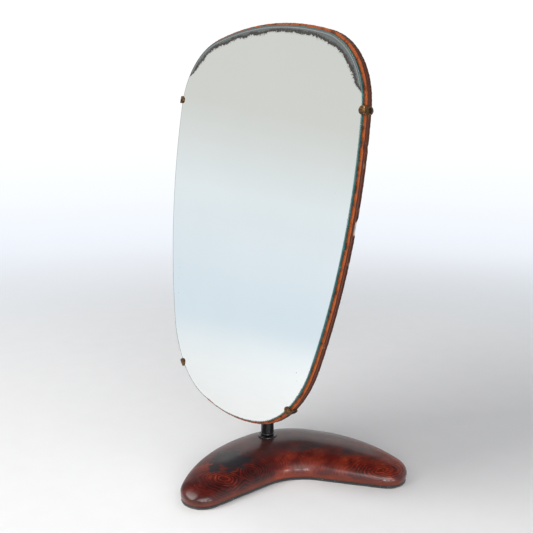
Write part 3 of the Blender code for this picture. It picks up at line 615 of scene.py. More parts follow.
def steel_finish():
    """Zinc-grey steel, cloudy, with fine turning marks and brown spots."""
    steel = Finish("plain_steel")
    place = steel.solid()
    cloud = steel.noise(place, 380.0, 4.0)
    marks = steel.noise(steel.stretched(place, (1.0, 1.0, 4.0)), 2400.0, 2.0)
    rust = steel.step(steel.noise(place, 700.0, 4.0, 0.65), 0.60, 0.68)
    colour = steel.ramp(cloud, ((0.32, (0.20, 0.20, 0.205)), (0.68, (0.46, 0.46, 0.465))))
    colour = steel.mix(rust * 0.7, colour, (0.11, 0.045, 0.018))
    return steel.surface(Base_Color=colour, Metallic=1.0 - rust * 0.7,
                         Roughness=0.26 + marks * 0.26 + rust * 0.25,
                         Normal=steel.bumps(marks + cloud, 0.00003))


def brass_finish():
    """Brass gone dark brown, with brighter rubbed places and greenish grime."""
    brass = Finish("aged_brass")
    place = brass.solid()
    cloud = brass.noise(place, 300.0, 5.0, 0.62)
    grain = brass.noise(place, 2600.0, 2.0)
    grime = brass.step(brass.noise(place, 620.0, 4.0, 0.6), 0.53, 0.66)
    colour = brass.ramp(cloud, ((0.30, (0.028, 0.017, 0.010)), (0.50, (0.120, 0.058, 0.024)),
                                (0.74, (0.38, 0.215, 0.080))))
    colour = brass.mix(grime * 0.75, colour, (0.014, 0.013, 0.010))
    return brass.surface(Base_Color=colour, Metallic=0.95 - grime * 0.5,
                         Roughness=0.30 + cloud * 0.16 + grime * 0.25,
                         Normal=brass.bumps(grain + cloud * 1.5, 0.00005))


def screw_finish():
    """Old slotted brass screws, nearly black, with brass showing where the driver bit."""
    dark = Finish("darkened_brass")
    place = dark.solid()
    cloud = dark.noise(place, 900.0, 4.0, 0.65)
    colour = dark.ramp(cloud, ((0.35, (0.010, 0.008, 0.007)), (0.58, (0.030, 0.021, 0.014)),
                               (0.75, (0.22, 0.14, 0.065))))
    return dark.surface(Base_Color=colour, Metallic=0.75 + cloud * 0.2,
                        Roughness=0.18 + cloud * 0.24, Normal=dark.bumps(cloud, 0.00006))


def fibre_finish():
    """Vulcanised fibre: dull brick red with paper fibres."""
    fibre = Finish("red_fibre")
    place = fibre.solid()
    threads = fibre.noise(fibre.stretched(place, (1.0, 3.0, 1.0)), 1400.0, 4.0, 0.65)
    colour = fibre.ramp(threads, ((0.3, (0.11, 0.018, 0.011)), (0.7, (0.27, 0.060, 0.034))))
    return fibre.surface(Base_Color=colour, Roughness=0.6 + threads * 0.3,
                         Normal=fibre.bumps(threads, 0.00006))


ENAMEL, STEEL, FIBRE = enamel_finish(), steel_finish(), fibre_finish()
BRASS, DARK_BRASS = brass_finish(), screw_finish()
for name in ("swivel_washer", "swivel_spring_washer", "swivel_nut"):
    nodes[name].data.materials.clear()
    nodes[name].data.materials.append(STEEL)
print("finishes:", [made.name for made in (ENAMEL, STEEL, BRASS, DARK_BRASS, FIBRE)])

# %% [markdown]
# ## Post and bush
# Both were turned on a lathe, so a profile carried round the axis is the whole shape. Their
# corners are softened to a few tenths of a millimetre: a bright line on each edge tells the eye
# how thick a thing is, and a perfectly sharp corner would show none.

# %% Turned bush and post
STUD_RADIUS, POST_RADIUS = 0.004, 0.008
FLANGE_FOOT = SEAT_HEIGHT + GAP
FLANGE_TOP = FLANGE_FOOT + 0.0024
SHANK_TOP = PIVOT_HEIGHT - 0.011
SHANK_FOOT = SHANK_TOP - 0.0115
POST_FOOT, POST_TOP = FLANGE_TOP + GAP, SHANK_FOOT - GAP
STUD_FOOT, TENON_TOP = 0.0053, POST_TOP + 0.0095
bore = STUD_RADIUS + GAP
around_post = Matrix.Rotation(SWIVEL, 4, "Z")

bush_profile = np.array([(bore, RECESS_TOP + GAP), (bore, FLANGE_TOP), (0.0092, FLANGE_TOP),
                         (0.0094, FLANGE_TOP - 0.0004), (0.0098, FLANGE_TOP - 0.0004),
                         (0.0106, FLANGE_TOP - 0.0001), (0.0113, FLANGE_TOP - 0.0007),
                         (BUSH_FLANGE_RADIUS, FLANGE_TOP - 0.0014),
                         (BUSH_FLANGE_RADIUS, FLANGE_FOOT), (BUSH_SHANK_RADIUS, FLANGE_FOOT),
                         (BUSH_SHANK_RADIUS, RECESS_TOP + GAP)])
post_bush = turned("post_bush", softened(bush_profile, 0.0003), ENAMEL, steps=96)
fit(post_bush, "base", "base_bush")

groove = POST_RADIUS - 0.0003
post_profile = [(0.0, STUD_FOOT), (STUD_RADIUS, STUD_FOOT), (STUD_RADIUS, POST_FOOT),
                (POST_RADIUS, POST_FOOT), (POST_RADIUS, POST_FOOT + 0.0022),
                (groove, POST_FOOT + 0.0025), (groove, POST_FOOT + 0.0030),
                (POST_RADIUS, POST_FOOT + 0.0033), (POST_RADIUS, POST_TOP), (STUD_RADIUS, POST_TOP),
                (STUD_RADIUS, TENON_TOP), (0.0, TENON_TOP)]
black_post = turned("black_post", softened(post_profile, 0.0005), ENAMEL, around_post, steps=96)
fit(black_post, "post", "post")

# %% [markdown]
# ## The tilt knuckle
# Behind the board a flat eye on the post's head sits between two ears of a screwed-on bracket.
# A bolt goes through all three, fibre washers give the grip, and a fluted knob sets it. Eye and
# bracket are built as bevelled plates and joined, as they were filed and brazed.

# %% The eye on the post's head
EYE_THICKNESS, EYE_RADIUS, BOLT_RADIUS, FIBRE_THICKNESS = 0.008, 0.008, 0.003, 0.001
upright = Matrix(((0, 0, 1, 0), (1, 0, 0, 0), (0, 1, 0, 0), (0, 0, 0, 1)))


def plate_piece(name, outline, low, high, bevel, matrix, finish):
    """A plate with rounded-over edges: the inset falls as a quarter circle over the bevel."""
    turn = np.linspace(0.0, math.pi / 2, 5)
    inset = np.concatenate((bevel * (1 - np.sin(turn)), bevel * (1 - np.cos(turn))))
    height = np.concatenate((low + bevel * (1 - np.cos(turn)), high - bevel * (1 - np.sin(turn))))
    return make_piece(name, raised(outline, height, inset, matrix), [finish])


shank = [(bore, SHANK_FOOT), (POST_RADIUS, SHANK_FOOT), (POST_RADIUS, SHANK_TOP),
         (bore, SHANK_TOP), (bore, SHANK_FOOT)]
knuckle_eye = turned("knuckle_eye", softened(shank, 0.0007)[:-1], ENAMEL, around_post)
tongue_foot, tongue_side = TENON_TOP + 2 * GAP - PIVOT_HEIGHT, EYE_RADIUS * 0.9
tongue = np.vstack(([(-tongue_side, tongue_foot), (0.0, tongue_foot), (tongue_side, tongue_foot),
                     (EYE_RADIUS, 0.0)],
                    arc((EYE_RADIUS, 0.0), math.pi / 2, EYE_RADIUS, math.pi * 1.5, 32)))
eye_tongue = plate_piece("eye_tongue", tongue, -EYE_THICKNESS / 2, EYE_THICKNESS / 2, 0.0005,
                         on_post @ upright, ENAMEL)
worked(knuckle_eye, [eye_tongue], "UNION")
bolt_hole = BOLT_RADIUS + GAP
bolt_drill = rod(bolt_hole, -0.03, 0.03)
worked(knuckle_eye, [turned("eye_hole", bolt_drill, ENAMEL, on_post @ along_x)])
fit(knuckle_eye, "post", "tilt_eye")

# %% The bracket with its two ears
PLATE_WIDTH, PLATE_HEIGHT, PLATE_CORNER, SCREW_FROM_EDGE = 0.052, 0.062, 0.010, 0.008
BOARD_FRONT, BOARD_BACK = -0.0267, -0.0187
PLATE_FRONT, PLATE_BACK = BOARD_BACK + GAP, BOARD_BACK + GAP + 0.003
EAR_INNER = EYE_THICKNESS / 2 + FIBRE_THICKNESS + 2 * GAP
EAR_THICKNESS, EAR_RADIUS = 0.004, 0.009
EAR_OUTER = EAR_INNER + EAR_THICKNESS
SCREW_HOLE = 0.00205


def rounded_rectangle(width, height, corner, steps=10):
    """Four quarter circles about the corner centres, which stand in by the corner's radius."""
    turn = np.linspace(0.0, math.pi / 2, steps)[None, :] + (np.arange(4) * math.pi / 2)[:, None]
    side_x = np.array((1, -1, -1, 1))[:, None] * (width / 2 - corner)
    side_y = np.array((1, 1, -1, -1))[:, None] * (height / 2 - corner)
    points = np.stack((side_x + corner * np.cos(turn), side_y + corner * np.sin(turn)), axis=-1)
    return points.reshape(-1, 2)


plate = rounded_rectangle(PLATE_WIDTH, PLATE_HEIGHT, PLATE_CORNER)
tilt_bracket = plate_piece("tilt_bracket", plate, PLATE_FRONT, PLATE_BACK, 0.0006,
                           on_mirror @ backwards, ENAMEL)
root = (PLATE_FRONT + PLATE_BACK) / 2
ear = np.vstack(([(root, EAR_RADIUS), (root, 0.0), (root, -EAR_RADIUS), (0.0, -EAR_RADIUS)],
                 arc((0.0, -EAR_RADIUS), 0.0, EAR_RADIUS, math.pi, 32)))
ears = [plate_piece(f"ear_{start:+.4f}", ear, start, start + EAR_THICKNESS, 0.0006,
                    on_mirror @ upright, ENAMEL) for start in (-EAR_OUTER, EAR_INNER)]
worked(tilt_bracket, ears, "UNION")
screw_x, screw_z = PLATE_WIDTH / 2 - SCREW_FROM_EDGE, PLATE_HEIGHT / 2 - SCREW_FROM_EDGE
screw_axes = {place: on_mirror @ Matrix.Translation((x, 0.0, z)) @ backwards for place, x, z in (
    ("lower_left", -screw_x, -screw_z), ("lower_right", screw_x, -screw_z),
    ("upper_right", screw_x, screw_z), ("upper_left", -screw_x, screw_z))}
holes = [turned("ear_holes", bolt_drill, ENAMEL, on_mirror @ along_x)]
for place, axis in screw_axes.items():
    holes.append(turned(f"hole_{place}", rod(SCREW_HOLE, -0.02, -0.01), ENAMEL, axis))
worked(tilt_bracket, holes)
fit(tilt_bracket, "mirror", "tilt_fork")

# %% Bolt, washers and knob
sideways = on_mirror @ along_x
WASHER_RADIUS, WASHER_THICKNESS = 0.007, 0.0012
HEAD_RADIUS, HEAD_HEIGHT = 0.006, 0.004
WASHER_X = EAR_OUTER + GAP
KNOB_X = WASHER_X + WASHER_THICKNESS + GAP
KNOB_END = KNOB_X + 0.011


def washer(name, low, thickness, finish):
    """A flat ring on the bolt, with softened outer corners, from low to low + thickness."""
    high = low + thickness
    profile = [(bolt_hole, low), (WASHER_RADIUS, low), (WASHER_RADIUS, high), (bolt_hole, high),
               (bolt_hole, low)]
    return turned(name, softened(profile, 0.0002)[:-1], finish, sideways)


def slot_tool(name, width, depth, length, top, matrix):
    """A long, round-bottomed block that leaves a screwdriver slot below the given top."""
    section = np.array([(-width / 2, -depth), (-width / 4, -depth * 1.15),
                        (width / 4, -depth * 1.15), (width / 2, -depth),
                        (width / 2, 0.002), (-width / 2, 0.002)])
    rows = [np.column_stack((np.full(6, x), section[:, 0], section[:, 1] + top))
            for x in (-length, 0.0, length)]
    return make_piece(name, placed(np.array(rows), matrix), [STEEL])


head_foot = -EAR_OUTER - GAP
bolt_end = KNOB_END + 0.001
bolt_profile = softened([(0.0, head_foot - HEAD_HEIGHT), (0.0042, head_foot - 0.0039),
                         (HEAD_RADIUS, head_foot - 0.002), (HEAD_RADIUS, head_foot),
                         (BOLT_RADIUS, head_foot), (BOLT_RADIUS, bolt_end), (0.0, bolt_end)],
                        0.0005)
tilt_bolt = turned("cross_bolt", bolt_profile, STEEL, sideways)
turn_over = Matrix.Rotation(math.pi, 4, "X")
worked(tilt_bolt, [slot_tool("bolt_slot", 0.0012, 0.0014, 0.02, HEAD_HEIGHT - head_foot,
                             sideways @ turn_over)])
fit(tilt_bolt, "mirror", "tilt_bolt")
fit(washer("knob_washer", WASHER_X, WASHER_THICKNESS, STEEL), "mirror", "tilt_outer_washer")
for hand, side in (("left", -1), ("right", 1)):
    middle = side * (EYE_THICKNESS / 2 + GAP + FIBRE_THICKNESS / 2)
    fit(washer(f"fibre_washer_{hand}", middle - FIBRE_THICKNESS / 2, FIBRE_THICKNESS, FIBRE),
        "mirror", f"friction_washer_{hand}")
knob_profile = softened([(bolt_hole, KNOB_X), (0.0085, KNOB_X), (0.0110, KNOB_X + 0.0012),
                         (0.0110, KNOB_END - 0.0020), (0.0095, KNOB_END), (0.0060, KNOB_END),
                         (0.0054, KNOB_END - 0.0006), (bolt_hole, KNOB_END - 0.0006),
                         (bolt_hole, KNOB_X)], 0.0006)[:-1]
grip_knob = turned("grip_knob", knob_profile, ENAMEL, sideways, steps=160, flutes=10,
                   flute_depth=0.0012)
fit(grip_knob, "mirror", "tilt_knob")

# %% [markdown]
# ## Screws
# All the screws are one shape at two sizes: a shank, a low domed head whose section is a quarter
# ellipse, and a cut slot. Each slot points its own way, as a hand-driven screw's does.

# %% Bracket screws
def screw(name, shank_radius, tip, seat, head_radius, head_height, matrix, finish, slot_turn):
    """A turned screw along +Z, then slotted.

    Its head is head radius x cos wide and head height x sin high, for 0 to 90 degrees.
    """
    turn = np.linspace(0.0, math.pi / 2, 9)
    dome = np.column_stack((head_radius * np.cos(turn), seat + head_height * np.sin(turn)))
    dome[-1, 0] = 0.0
    profile = np.vstack(([(0.0, tip), (shank_radius, tip), (shank_radius, seat)], dome))
    made = turned(name, profile, finish, matrix, steps=40)
    turned_slot = matrix @ Matrix.Rotation(slot_turn, 4, "Z")
    tool = slot_tool(f"{name}_slot", head_radius * 0.24, head_height * 0.55, head_radius * 1.6,
                     seat + head_height, turned_slot)
    return worked(made, [tool])


for number, (place, axis) in enumerate(screw_axes.items()):
    made = screw(f"bracket_screw_{place}", 0.00175, BOARD_BACK - 0.0058, PLATE_BACK + GAP,
                 0.0035, 0.0022, axis, STEEL, 0.5 + 1.1 * number)
    fit(made, "mirror", f"plate_screw_{place}")

# %% [markdown]
# ## The glass outline
# The glass is the object's face, so its outline gets one point about every millimetre. That is
# fine enough to carry real chips: a shallow bite at the foot of the glass, a torn ply at the
# back of the board, each a smooth dip in how far the edge stands out.

# %% Glass outline
PIVOT_ABOVE_FOOT = 0.2245
STRETCHES = ((0.2275, 13.4, 64), (0.1005, 46.9, 96), (0.1305, 73.7, 80), (0.7855, 93.8, 128),
             (0.0855, 165.9, 176))
BOARD_OVERHANG = 0.003


def glass_half(outset):
    """Half the outline from the middle of the foot: tangent arcs, and a top arc that closes it."""
    half = np.array([(0.0, -PIVOT_ABOVE_FOOT - outset)])
    heading = 0.0
    for radius, end_degrees, steps in STRETCHES:
        end = math.radians(end_degrees)
        half = np.vstack((half, arc(half[-1], heading, radius + outset, end, steps)))
        heading = end
    half = np.vstack((half, arc(half[-1], heading, half[-1, 0] / math.sin(heading), math.pi, 64)))
    half[-1, 0] = 0.0
    return half


def edge_run(outline):
    """Length along the closed outline up to each point and, last, all the way round."""
    steps = np.linalg.norm(np.roll(outline, -1, axis=0) - outline, axis=1)
    return np.concatenate(([0.0], np.cumsum(steps)))


def dip(where, middle, half_width, depth):
    """A rounded bite: depth x (1 - (offset / half width)^2), never below nothing."""
    return depth * np.clip(1 - ((where - middle) / half_width) ** 2, 0.0, 1.0)


glass_edge = closed(glass_half(0.0))
print("glass", np.ptp(glass_edge, axis=0).round(4), "m,", len(glass_edge), "points")

# %% [markdown]
# ## The silvering
# A mirror reflects from a thin film behind the glass. Here the sheet's front face carries the
# reflection and a clear coat carries the glass's own gloss, which renders cleanly. Damp has eaten
# the film along the top, so a map that holds the distance from the edge drives a ragged dark band.

# %% Silvered face and ground edge
def silver_finish():
    """Bright silver, lost near the top edge, spotted near the rim and dotted along the foot.

    The lost band reaches in by width + raggedness. Where it has been lost longest, near the edge,
    the glass is bare, with a pale painted highlight line for light caught by the glass's edge. The
    ground arris shows as a thin green line.
    """
    film = Finish("mirror_glass", IOR=1.5, Coat_IOR=1.5, Coat_Roughness=0.01)
    rim, place = film.skin("rim"), film.skin("place")
    inward = film.part(rim, "Y")
    x, z = film.part(place, "X"), film.part(place, "Y")
    ragged = film.noise(rim, 290.0, 5.0, 0.74)
    coarse = film.noise(rim, 34.0, 2.0)
    top = film.step(z + x * 0.068, 0.153, 0.172)
    lean = (x - 0.118) / 0.036
    swell = film.maths("EXPONENT", 0.0 - lean * lean)
    width = (0.0088 + swell * 0.0008 + (coarse - 0.5) * 0.009) * top - (1.0 - top) * 0.004
    past = width + (ragged - 0.5) * 0.0100 - inward
    lost = film.step(past, -0.0002, 0.0004)
    halo = film.step(past, -0.0022, 0.0)
    bare = film.step(past, 0.0030, 0.0047)
    # Painted highlight: a pale line 2.6 mm in from the edge, where the glass is bare.
    from_line = film.maths("ABSOLUTE", inward + (coarse - 0.5) * 0.0006 - 0.0026)
    line = film.step(from_line, 0.0007, 0.0002) * bare
    low = film.step(z, -0.135, -0.165)
    dots = film.step(film.noise(rim, 420.0, 4.0, 0.7), 0.47, 0.60)
    dotted = film.step(inward, 0.0017, 0.0007) * dots * (0.30 + low * 0.70)
    near = film.step(inward, 0.030, 0.004)
    spots = film.step(film.cells(place, 105.0), 0.085, 0.045) * near * film.step(coarse, 0.53, 0.60)
    nick = film.step(film.apart(place, (0.098, -0.195, 0.0)), 0.0022, 0.0012)
    speck = film.step(film.apart(place, (0.063, -0.218, 0.0)), 0.0013, 0.0007)
    gone = film.highest(lost, dotted, nick, speck, spots * 0.7)
    haze = film.noise(place, 9.0, 3.0)
    silver = film.mix(haze, (0.86, 0.895, 0.885), (0.92, 0.935, 0.93))
    silver = film.mix(halo * 0.35, silver, (0.50, 0.47, 0.42))
    rot = film.ramp(film.noise(rim, 260.0, 4.0, 0.65), ((0.30, (0.006, 0.005, 0.005)),
                    (0.55, (0.022, 0.018, 0.017)), (0.75, (0.10, 0.088, 0.078))))
    colour = film.mix(gone, silver, rot)
    colour = film.mix(bare * 0.85, colour, (0.085, 0.100, 0.100))
    # Painted highlight: the light caught by the glass's edge, seen through the bare glass.
    colour = film.mix(line * 0.42, colour, (0.32, 0.34, 0.33))
    colour = film.mix(film.step(inward, 0.0016, 0.0008) * bare * 0.7, colour, (0.035, 0.055, 0.052))
    ground = film.step(inward + (ragged - 0.5) * 0.0006, 0.0014, 0.0007)
    colour = film.mix(ground * (1.0 - bare) * 0.80, colour, (0.13, 0.175, 0.135))
    colour = film.mix(dotted * low * 0.9, colour, (0.022, 0.020, 0.020))
    return film.surface(Base_Color=colour, Metallic=1.0 - gone * 0.85,
                        Roughness=0.012 + gone * 0.30 + halo * 0.03 + ground * 0.25,
                        Coat_Weight=0.35 - gone * 0.20)


def glass_edge_finish():
    """Sea-green glass seen end-on, with ground streaks and brighter chipped flecks."""
    edge = Finish("glass_edge", IOR=1.52, Coat_IOR=1.52, Coat_Roughness=0.06)
    rim = edge.skin("rim")
    streaks = edge.noise(edge.stretched(rim, (0.15, 1.0, 1.0)), 1500.0, 3.0)
    cloud = edge.noise(rim, 60.0, 3.0)
    flecks = edge.step(edge.cells(edge.stretched(rim, (1.0, 0.6, 1.0)), 240.0), 0.16, 0.08)
    colour = edge.ramp(cloud * 0.6 + streaks * 0.4, ((0.35, (0.001, 0.030, 0.034)),
                       (0.52, (0.003, 0.075, 0.078)), (0.68, (0.014, 0.150, 0.145))))
    colour = edge.mix(flecks * 0.3, colour, (0.20, 0.34, 0.31))
    return edge.surface(Base_Color=colour, Roughness=0.22 + streaks * 0.22, Coat_Weight=0.4,
                        Normal=edge.bumps(streaks + flecks, 0.00008))


SILVER, GLASS_EDGE = silver_finish(), glass_edge_finish()
print("silver:", len(SILVER.node_tree.nodes), "nodes")

# %% The glass sheet
GLASS_FRONT, GLASS_BACK, GLASS_ARRIS = -0.030, -0.027, 0.0004


def glass_points():
    """Rows of outlines: inwards over the front face, round the edge and inwards over the back.

    A row's distance from the edge is its second map value. The bite at the foot pushes the outer
    rows in, and less so the further a row is from the edge.
    """
    face = np.array((0.045, 0.030, 0.020, 0.014, 0.010, 0.007, 0.005, 0.0035, 0.0025, 0.0017,
                     0.001))
    turn = np.linspace(0.0, math.pi / 2, 4)
    round_in, round_down = GLASS_ARRIS * (1 - np.sin(turn)), GLASS_ARRIS * (1 - np.cos(turn))
    insets = np.concatenate((face, round_in, (0.0, 0.0), round_in[::-1], (0.003, 0.045)))
    depth = np.concatenate((np.full(len(face), GLASS_FRONT), GLASS_FRONT + round_down,
                            np.linspace(GLASS_FRONT, GLASS_BACK, 4)[1:3],
                            GLASS_BACK - round_down[::-1], (GLASS_BACK,) * 2))
    low = glass_edge[:, 1] < -0.2
    bite = dip(glass_edge[:, 0], -0.038, 0.010, 0.0013) * low
    bite = bite + dip(glass_edge[:, 0], 0.021, 0.004, 0.0004) * low
    rows = []
    for inset, y in zip(insets, depth):
        outline = moved_in(closed(glass_half(-inset)), bite * max(0.0, 1 - inset / 0.002))
        rows.append(np.column_stack((outline[:, 0], np.full(len(outline), y), outline[:, 1])))
    return np.array(rows), insets, len(face)


def edge_maps(name, outline, points, second):
    """The named map is (length along the edge, second value of the row); place is (across, up)."""
    run = edge_run(outline)
    along = np.stack(np.broadcast_arrays(run[None, :], second[:, None]), axis=-1)
    place = np.concatenate((points, points[:, :1]), axis=1)[..., [0, 2]]
    return {name: along, "place": place}


glass_grid, glass_insets, face_rows = glass_points()
finish_rows = np.where(np.arange(len(glass_insets) - 1) < face_rows, 0, 1)
glass_sheet = make_piece("silvered_glass", placed(glass_grid, on_mirror), [SILVER, GLASS_EDGE],
                         maps=edge_maps("rim", glass_edge, glass_grid, glass_insets),
                         finish_of_rows=finish_rows)
fit(glass_sheet, "mirror", "mirror_glass")

# %% [markdown]
# ## The plywood board
# Seen edge-on the board shows its layers: a bright orange-brown face ply behind the glass, dark
# glue, a brown core and a nearly black rear ply. A map that runs along the edge and through the
# thickness places the layers exactly. Thin layers of end grain sink a little, so they are shaped.

# %% Plywood finishes
def ply_edge_finish():
    """Layers by depth through the board, streaked along the edge, darker where it was stained."""
    ply = Finish("ply_edge", IOR=1.5, Coat_IOR=1.5, Coat_Roughness=0.25, Specular_IOR_Level=0.15)
    run, place = ply.skin("run"), ply.skin("place")
    streak = ply.noise(ply.stretched(run, (1.0, 14.0, 1.0)), 60.0, 4.0, 0.6)
    fine = ply.noise(ply.stretched(run, (1.0, 9.0, 1.0)), 420.0, 3.0, 0.65)
    through = ply.part(run, "Y") * 125.0 + (streak - 0.5) * 0.10
    layers = ply.ramp(through, (
        (0.00, (0.300, 0.068, 0.015)), (0.13, (0.330, 0.076, 0.016)), (0.19, (0.060, 0.017, 0.010)),
        (0.28, (0.030, 0.009, 0.007)), (0.36, (0.110, 0.030, 0.013)), (0.50, (0.150, 0.040, 0.016)),
        (0.58, (0.036, 0.010, 0.007)), (0.68, (0.070, 0.019, 0.010)), (0.80, (0.026, 0.007, 0.005)),
        (1.00, (0.016, 0.004, 0.004))))
    even = ply.mix(fine, (0.030, 0.008, 0.005), (0.130, 0.040, 0.019))
    high = ply.step(ply.part(place, "Y") + (streak - 0.5) * 0.05, 0.045, 0.120)
    colour = ply.mix(high * ply.step(through, 0.14, 0.26) * 0.6, layers, even)
    dark_streaks = ply.noise(ply.stretched(run, (1.0, 22.0, 1.0)), 85.0, 4.0, 0.7)
    colour = ply.mix(ply.step(dark_streaks, 0.48, 0.60) * 0.72, colour, (0.036, 0.011, 0.007))
    worn = ply.step(ply.noise(run, 90.0, 4.0, 0.65), 0.60, 0.68) * ply.step(streak, 0.42, 0.55)
    colour = ply.mix(worn * 0.35, colour, (0.42, 0.24, 0.14))
    near = ply.apart(place, (0.1655, 0.017, 0.0)) + (fine - 0.5) * 0.006
    chip = ply.step(near, 0.0085, 0.0060) * ply.step(through, 0.60, 0.72)
    colour = ply.mix(chip * 0.85, colour, (0.50, 0.46, 0.42))
    return ply.surface(Base_Color=colour, Roughness=0.50 + fine * 0.25 + worn * 0.1,
                       Coat_Weight=0.06 + fine * 0.04,
                       Normal=ply.bumps(fine + streak * 0.5, 0.00015))


def ply_back_finish():
    """A stained veneer with upright grain, darker towards the rim, scuffed and dusty."""
    back = Finish("ply_back", IOR=1.5, Coat_IOR=1.5, Coat_Roughness=0.22)
    rim, place = back.skin("run"), back.skin("place")
    sway = back.noise(back.stretched(place, (1.0, 0.35, 1.0)), 14.0, 3.0)
    across = back.part(place, "X") * 330.0 + sway * 16.0
    arches = back.maths("SINE", across) * 0.5 + 0.5
    grain = back.noise(back.stretched(place, (1.0, 0.045, 1.0)), 900.0, 4.0, 0.65)
    tone = arches * 0.35 + grain * 0.75 + (sway - 0.5) * 0.5
    colour = back.ramp(tone, ((0.22, (0.040, 0.013, 0.008)), (0.52, (0.105, 0.037, 0.019)),
                              (0.85, (0.205, 0.082, 0.040))))
    edge_dark = back.step(back.part(rim, "Y"), 0.016, 0.0)
    colour = back.mix(edge_dark * 0.55, colour, (0.024, 0.009, 0.007))
    patches = back.step(back.noise(place, 17.0, 5.0, 0.6), 0.53, 0.66)
    colour = back.mix(patches * 0.40, colour, (0.026, 0.012, 0.010))
    rubbed = back.noise(back.stretched(place, (1.0, 0.2, 1.0)), 260.0, 4.0, 0.7)
    scuff = back.step(rubbed, 0.64, 0.72)
    colour = back.mix(scuff * 0.40, colour, (0.34, 0.20, 0.12))
    return back.surface(Base_Color=colour, Roughness=0.34 + grain * 0.25 + scuff * 0.15,
                        Coat_Weight=0.45 - scuff * 0.3,
                        Normal=back.bumps(grain + arches * 0.2, 0.00009))


PLY_EDGE, PLY_BACK = ply_edge_finish(), ply_back_finish()
print("plywood finishes ready")

# %% The board
BOARD_THICKNESS = BOARD_BACK - BOARD_FRONT
board_edge = closed(glass_half(BOARD_OVERHANG))
back_insets = np.array((0.0012, 0.006, 0.016, 0.040))


def board_points():
    """Outlines over the front, through the edge and over the back.

    Through the edge a row stands in by 0.12 mm x (1 - cos) / 2 at each of four glue lines. Two
    dips are chips: a torn rear ply on the right side, and a small notch above it. The second
    result is the depth through the board of each row and, on the back, its distance from the edge.
    """
    share = np.linspace(0.0, 1.0, 25)
    layers = 0.00006 * (1 - np.cos(2 * math.pi * share * 4))
    corner = 0.0006 * np.clip(1 - np.minimum(share, 1 - share) / 0.08, 0.0, 1.0) ** 2
    insets = np.concatenate(((0.040, 0.0012), layers + corner, back_insets))
    depth = np.concatenate(((BOARD_FRONT,) * 2, BOARD_FRONT + BOARD_THICKNESS * share,
                            (BOARD_BACK,) * 4))
    spread = np.concatenate(((0.0, 0.0), share, (1.0,) * 4))
    right = board_edge[:, 0] > 0.0
    up = board_edge[:, 1] + PIVOT_ABOVE_FOOT
    torn = (dip(up, 0.243, 0.0085, 0.0016) + dip(up, 0.238, 0.003, 0.0006)) * right
    notch = dip(up, 0.323, 0.0022, 0.0008) * right
    run = edge_run(board_edge)[:-1]
    wear = 0.00008 * (np.sin(run * 410) + np.sin(run * 973 + 1.0) + np.sin(run * 1720 + 2.0) + 3.0)
    rows = []
    for inset, y, along in zip(insets, depth, spread):
        outer = max(0.0, 1 - max(inset - 0.0006, 0.0) / 0.001)
        dent = (torn * np.clip((along - 0.55) / 0.3, 0.0, 1.0) + notch + wear) * outer
        outline = moved_in(closed(glass_half(BOARD_OVERHANG - inset)), dent)
        rows.append(np.column_stack((outline[:, 0], np.full(len(outline), y), outline[:, 1])))
    through_board = np.concatenate(((0.0004, 0.0004), share * BOARD_THICKNESS, back_insets))
    return np.array(rows), through_board


board_grid, through_board = board_points()
edge_rows = np.zeros(len(through_board) - 1, dtype=int)
edge_rows[-len(back_insets):] = 1
ply_board = make_piece("ply_board", placed(board_grid, on_mirror), [PLY_EDGE, PLY_BACK],
                       maps=edge_maps("run", board_edge, board_grid, through_board),
                       finish_of_rows=edge_rows)
board_drill = rod(SCREW_HOLE, BOARD_BACK - 0.0061, 0.0)
board_holes = [turned(f"board_hole_{place}", board_drill, PLY_BACK, axis, steps=24)
               for place, axis in screw_axes.items()]

# %% [markdown]
# ## The clips
# Four bent brass strips hold the glass to the board. Each is a flat strip with round ends: one
# lies on the glass, the other is screwed to the edge of the board. The strip is a section swept
# along a bent middle line, and its width follows a half circle at either end.

# %% Clips and their screws
CLIP_GAUGE, CLIP_HALF_WIDTH, CLIP_REACH, CLIP_BEND = 0.001, 0.0045, 0.0035, 0.0009
CLIP_HEIGHTS = {"upper_left": 0.368, "upper_right": 0.3595, "lower_left": 0.0345,
                "lower_right": 0.0345}
SCREW_SETBACK, PILOT_RADIUS = 0.0075, 0.0015


def clip_places():
    """Point on the board's edge and outward direction for each clip, from its height."""
    half = glass_half(BOARD_OVERHANG)
    for place, height in CLIP_HEIGHTS.items():
        below = np.nonzero((half[:-1, 1] <= height - PIVOT_ABOVE_FOOT)
                           & (half[1:, 1] > height - PIVOT_ABOVE_FOOT))[0][0]
        ahead = (half[below + 1] - half[below]) / np.linalg.norm(half[below + 1] - half[below])
        side = -1 if place.endswith("left") else 1
        yield place, (side * half[below, 0], half[below, 1]), (side * ahead[1], -ahead[0])


def clip_matrix(point, outward):
    """Axes of a clip: +X outwards, +Y to the back, +Z along the board's edge."""
    x, z = outward
    local = Matrix(((x, 0, -z, point[0]), (0, 1, 0, 0), (z, 0, x, point[1]), (0, 0, 0, 1)))
    return on_mirror @ local


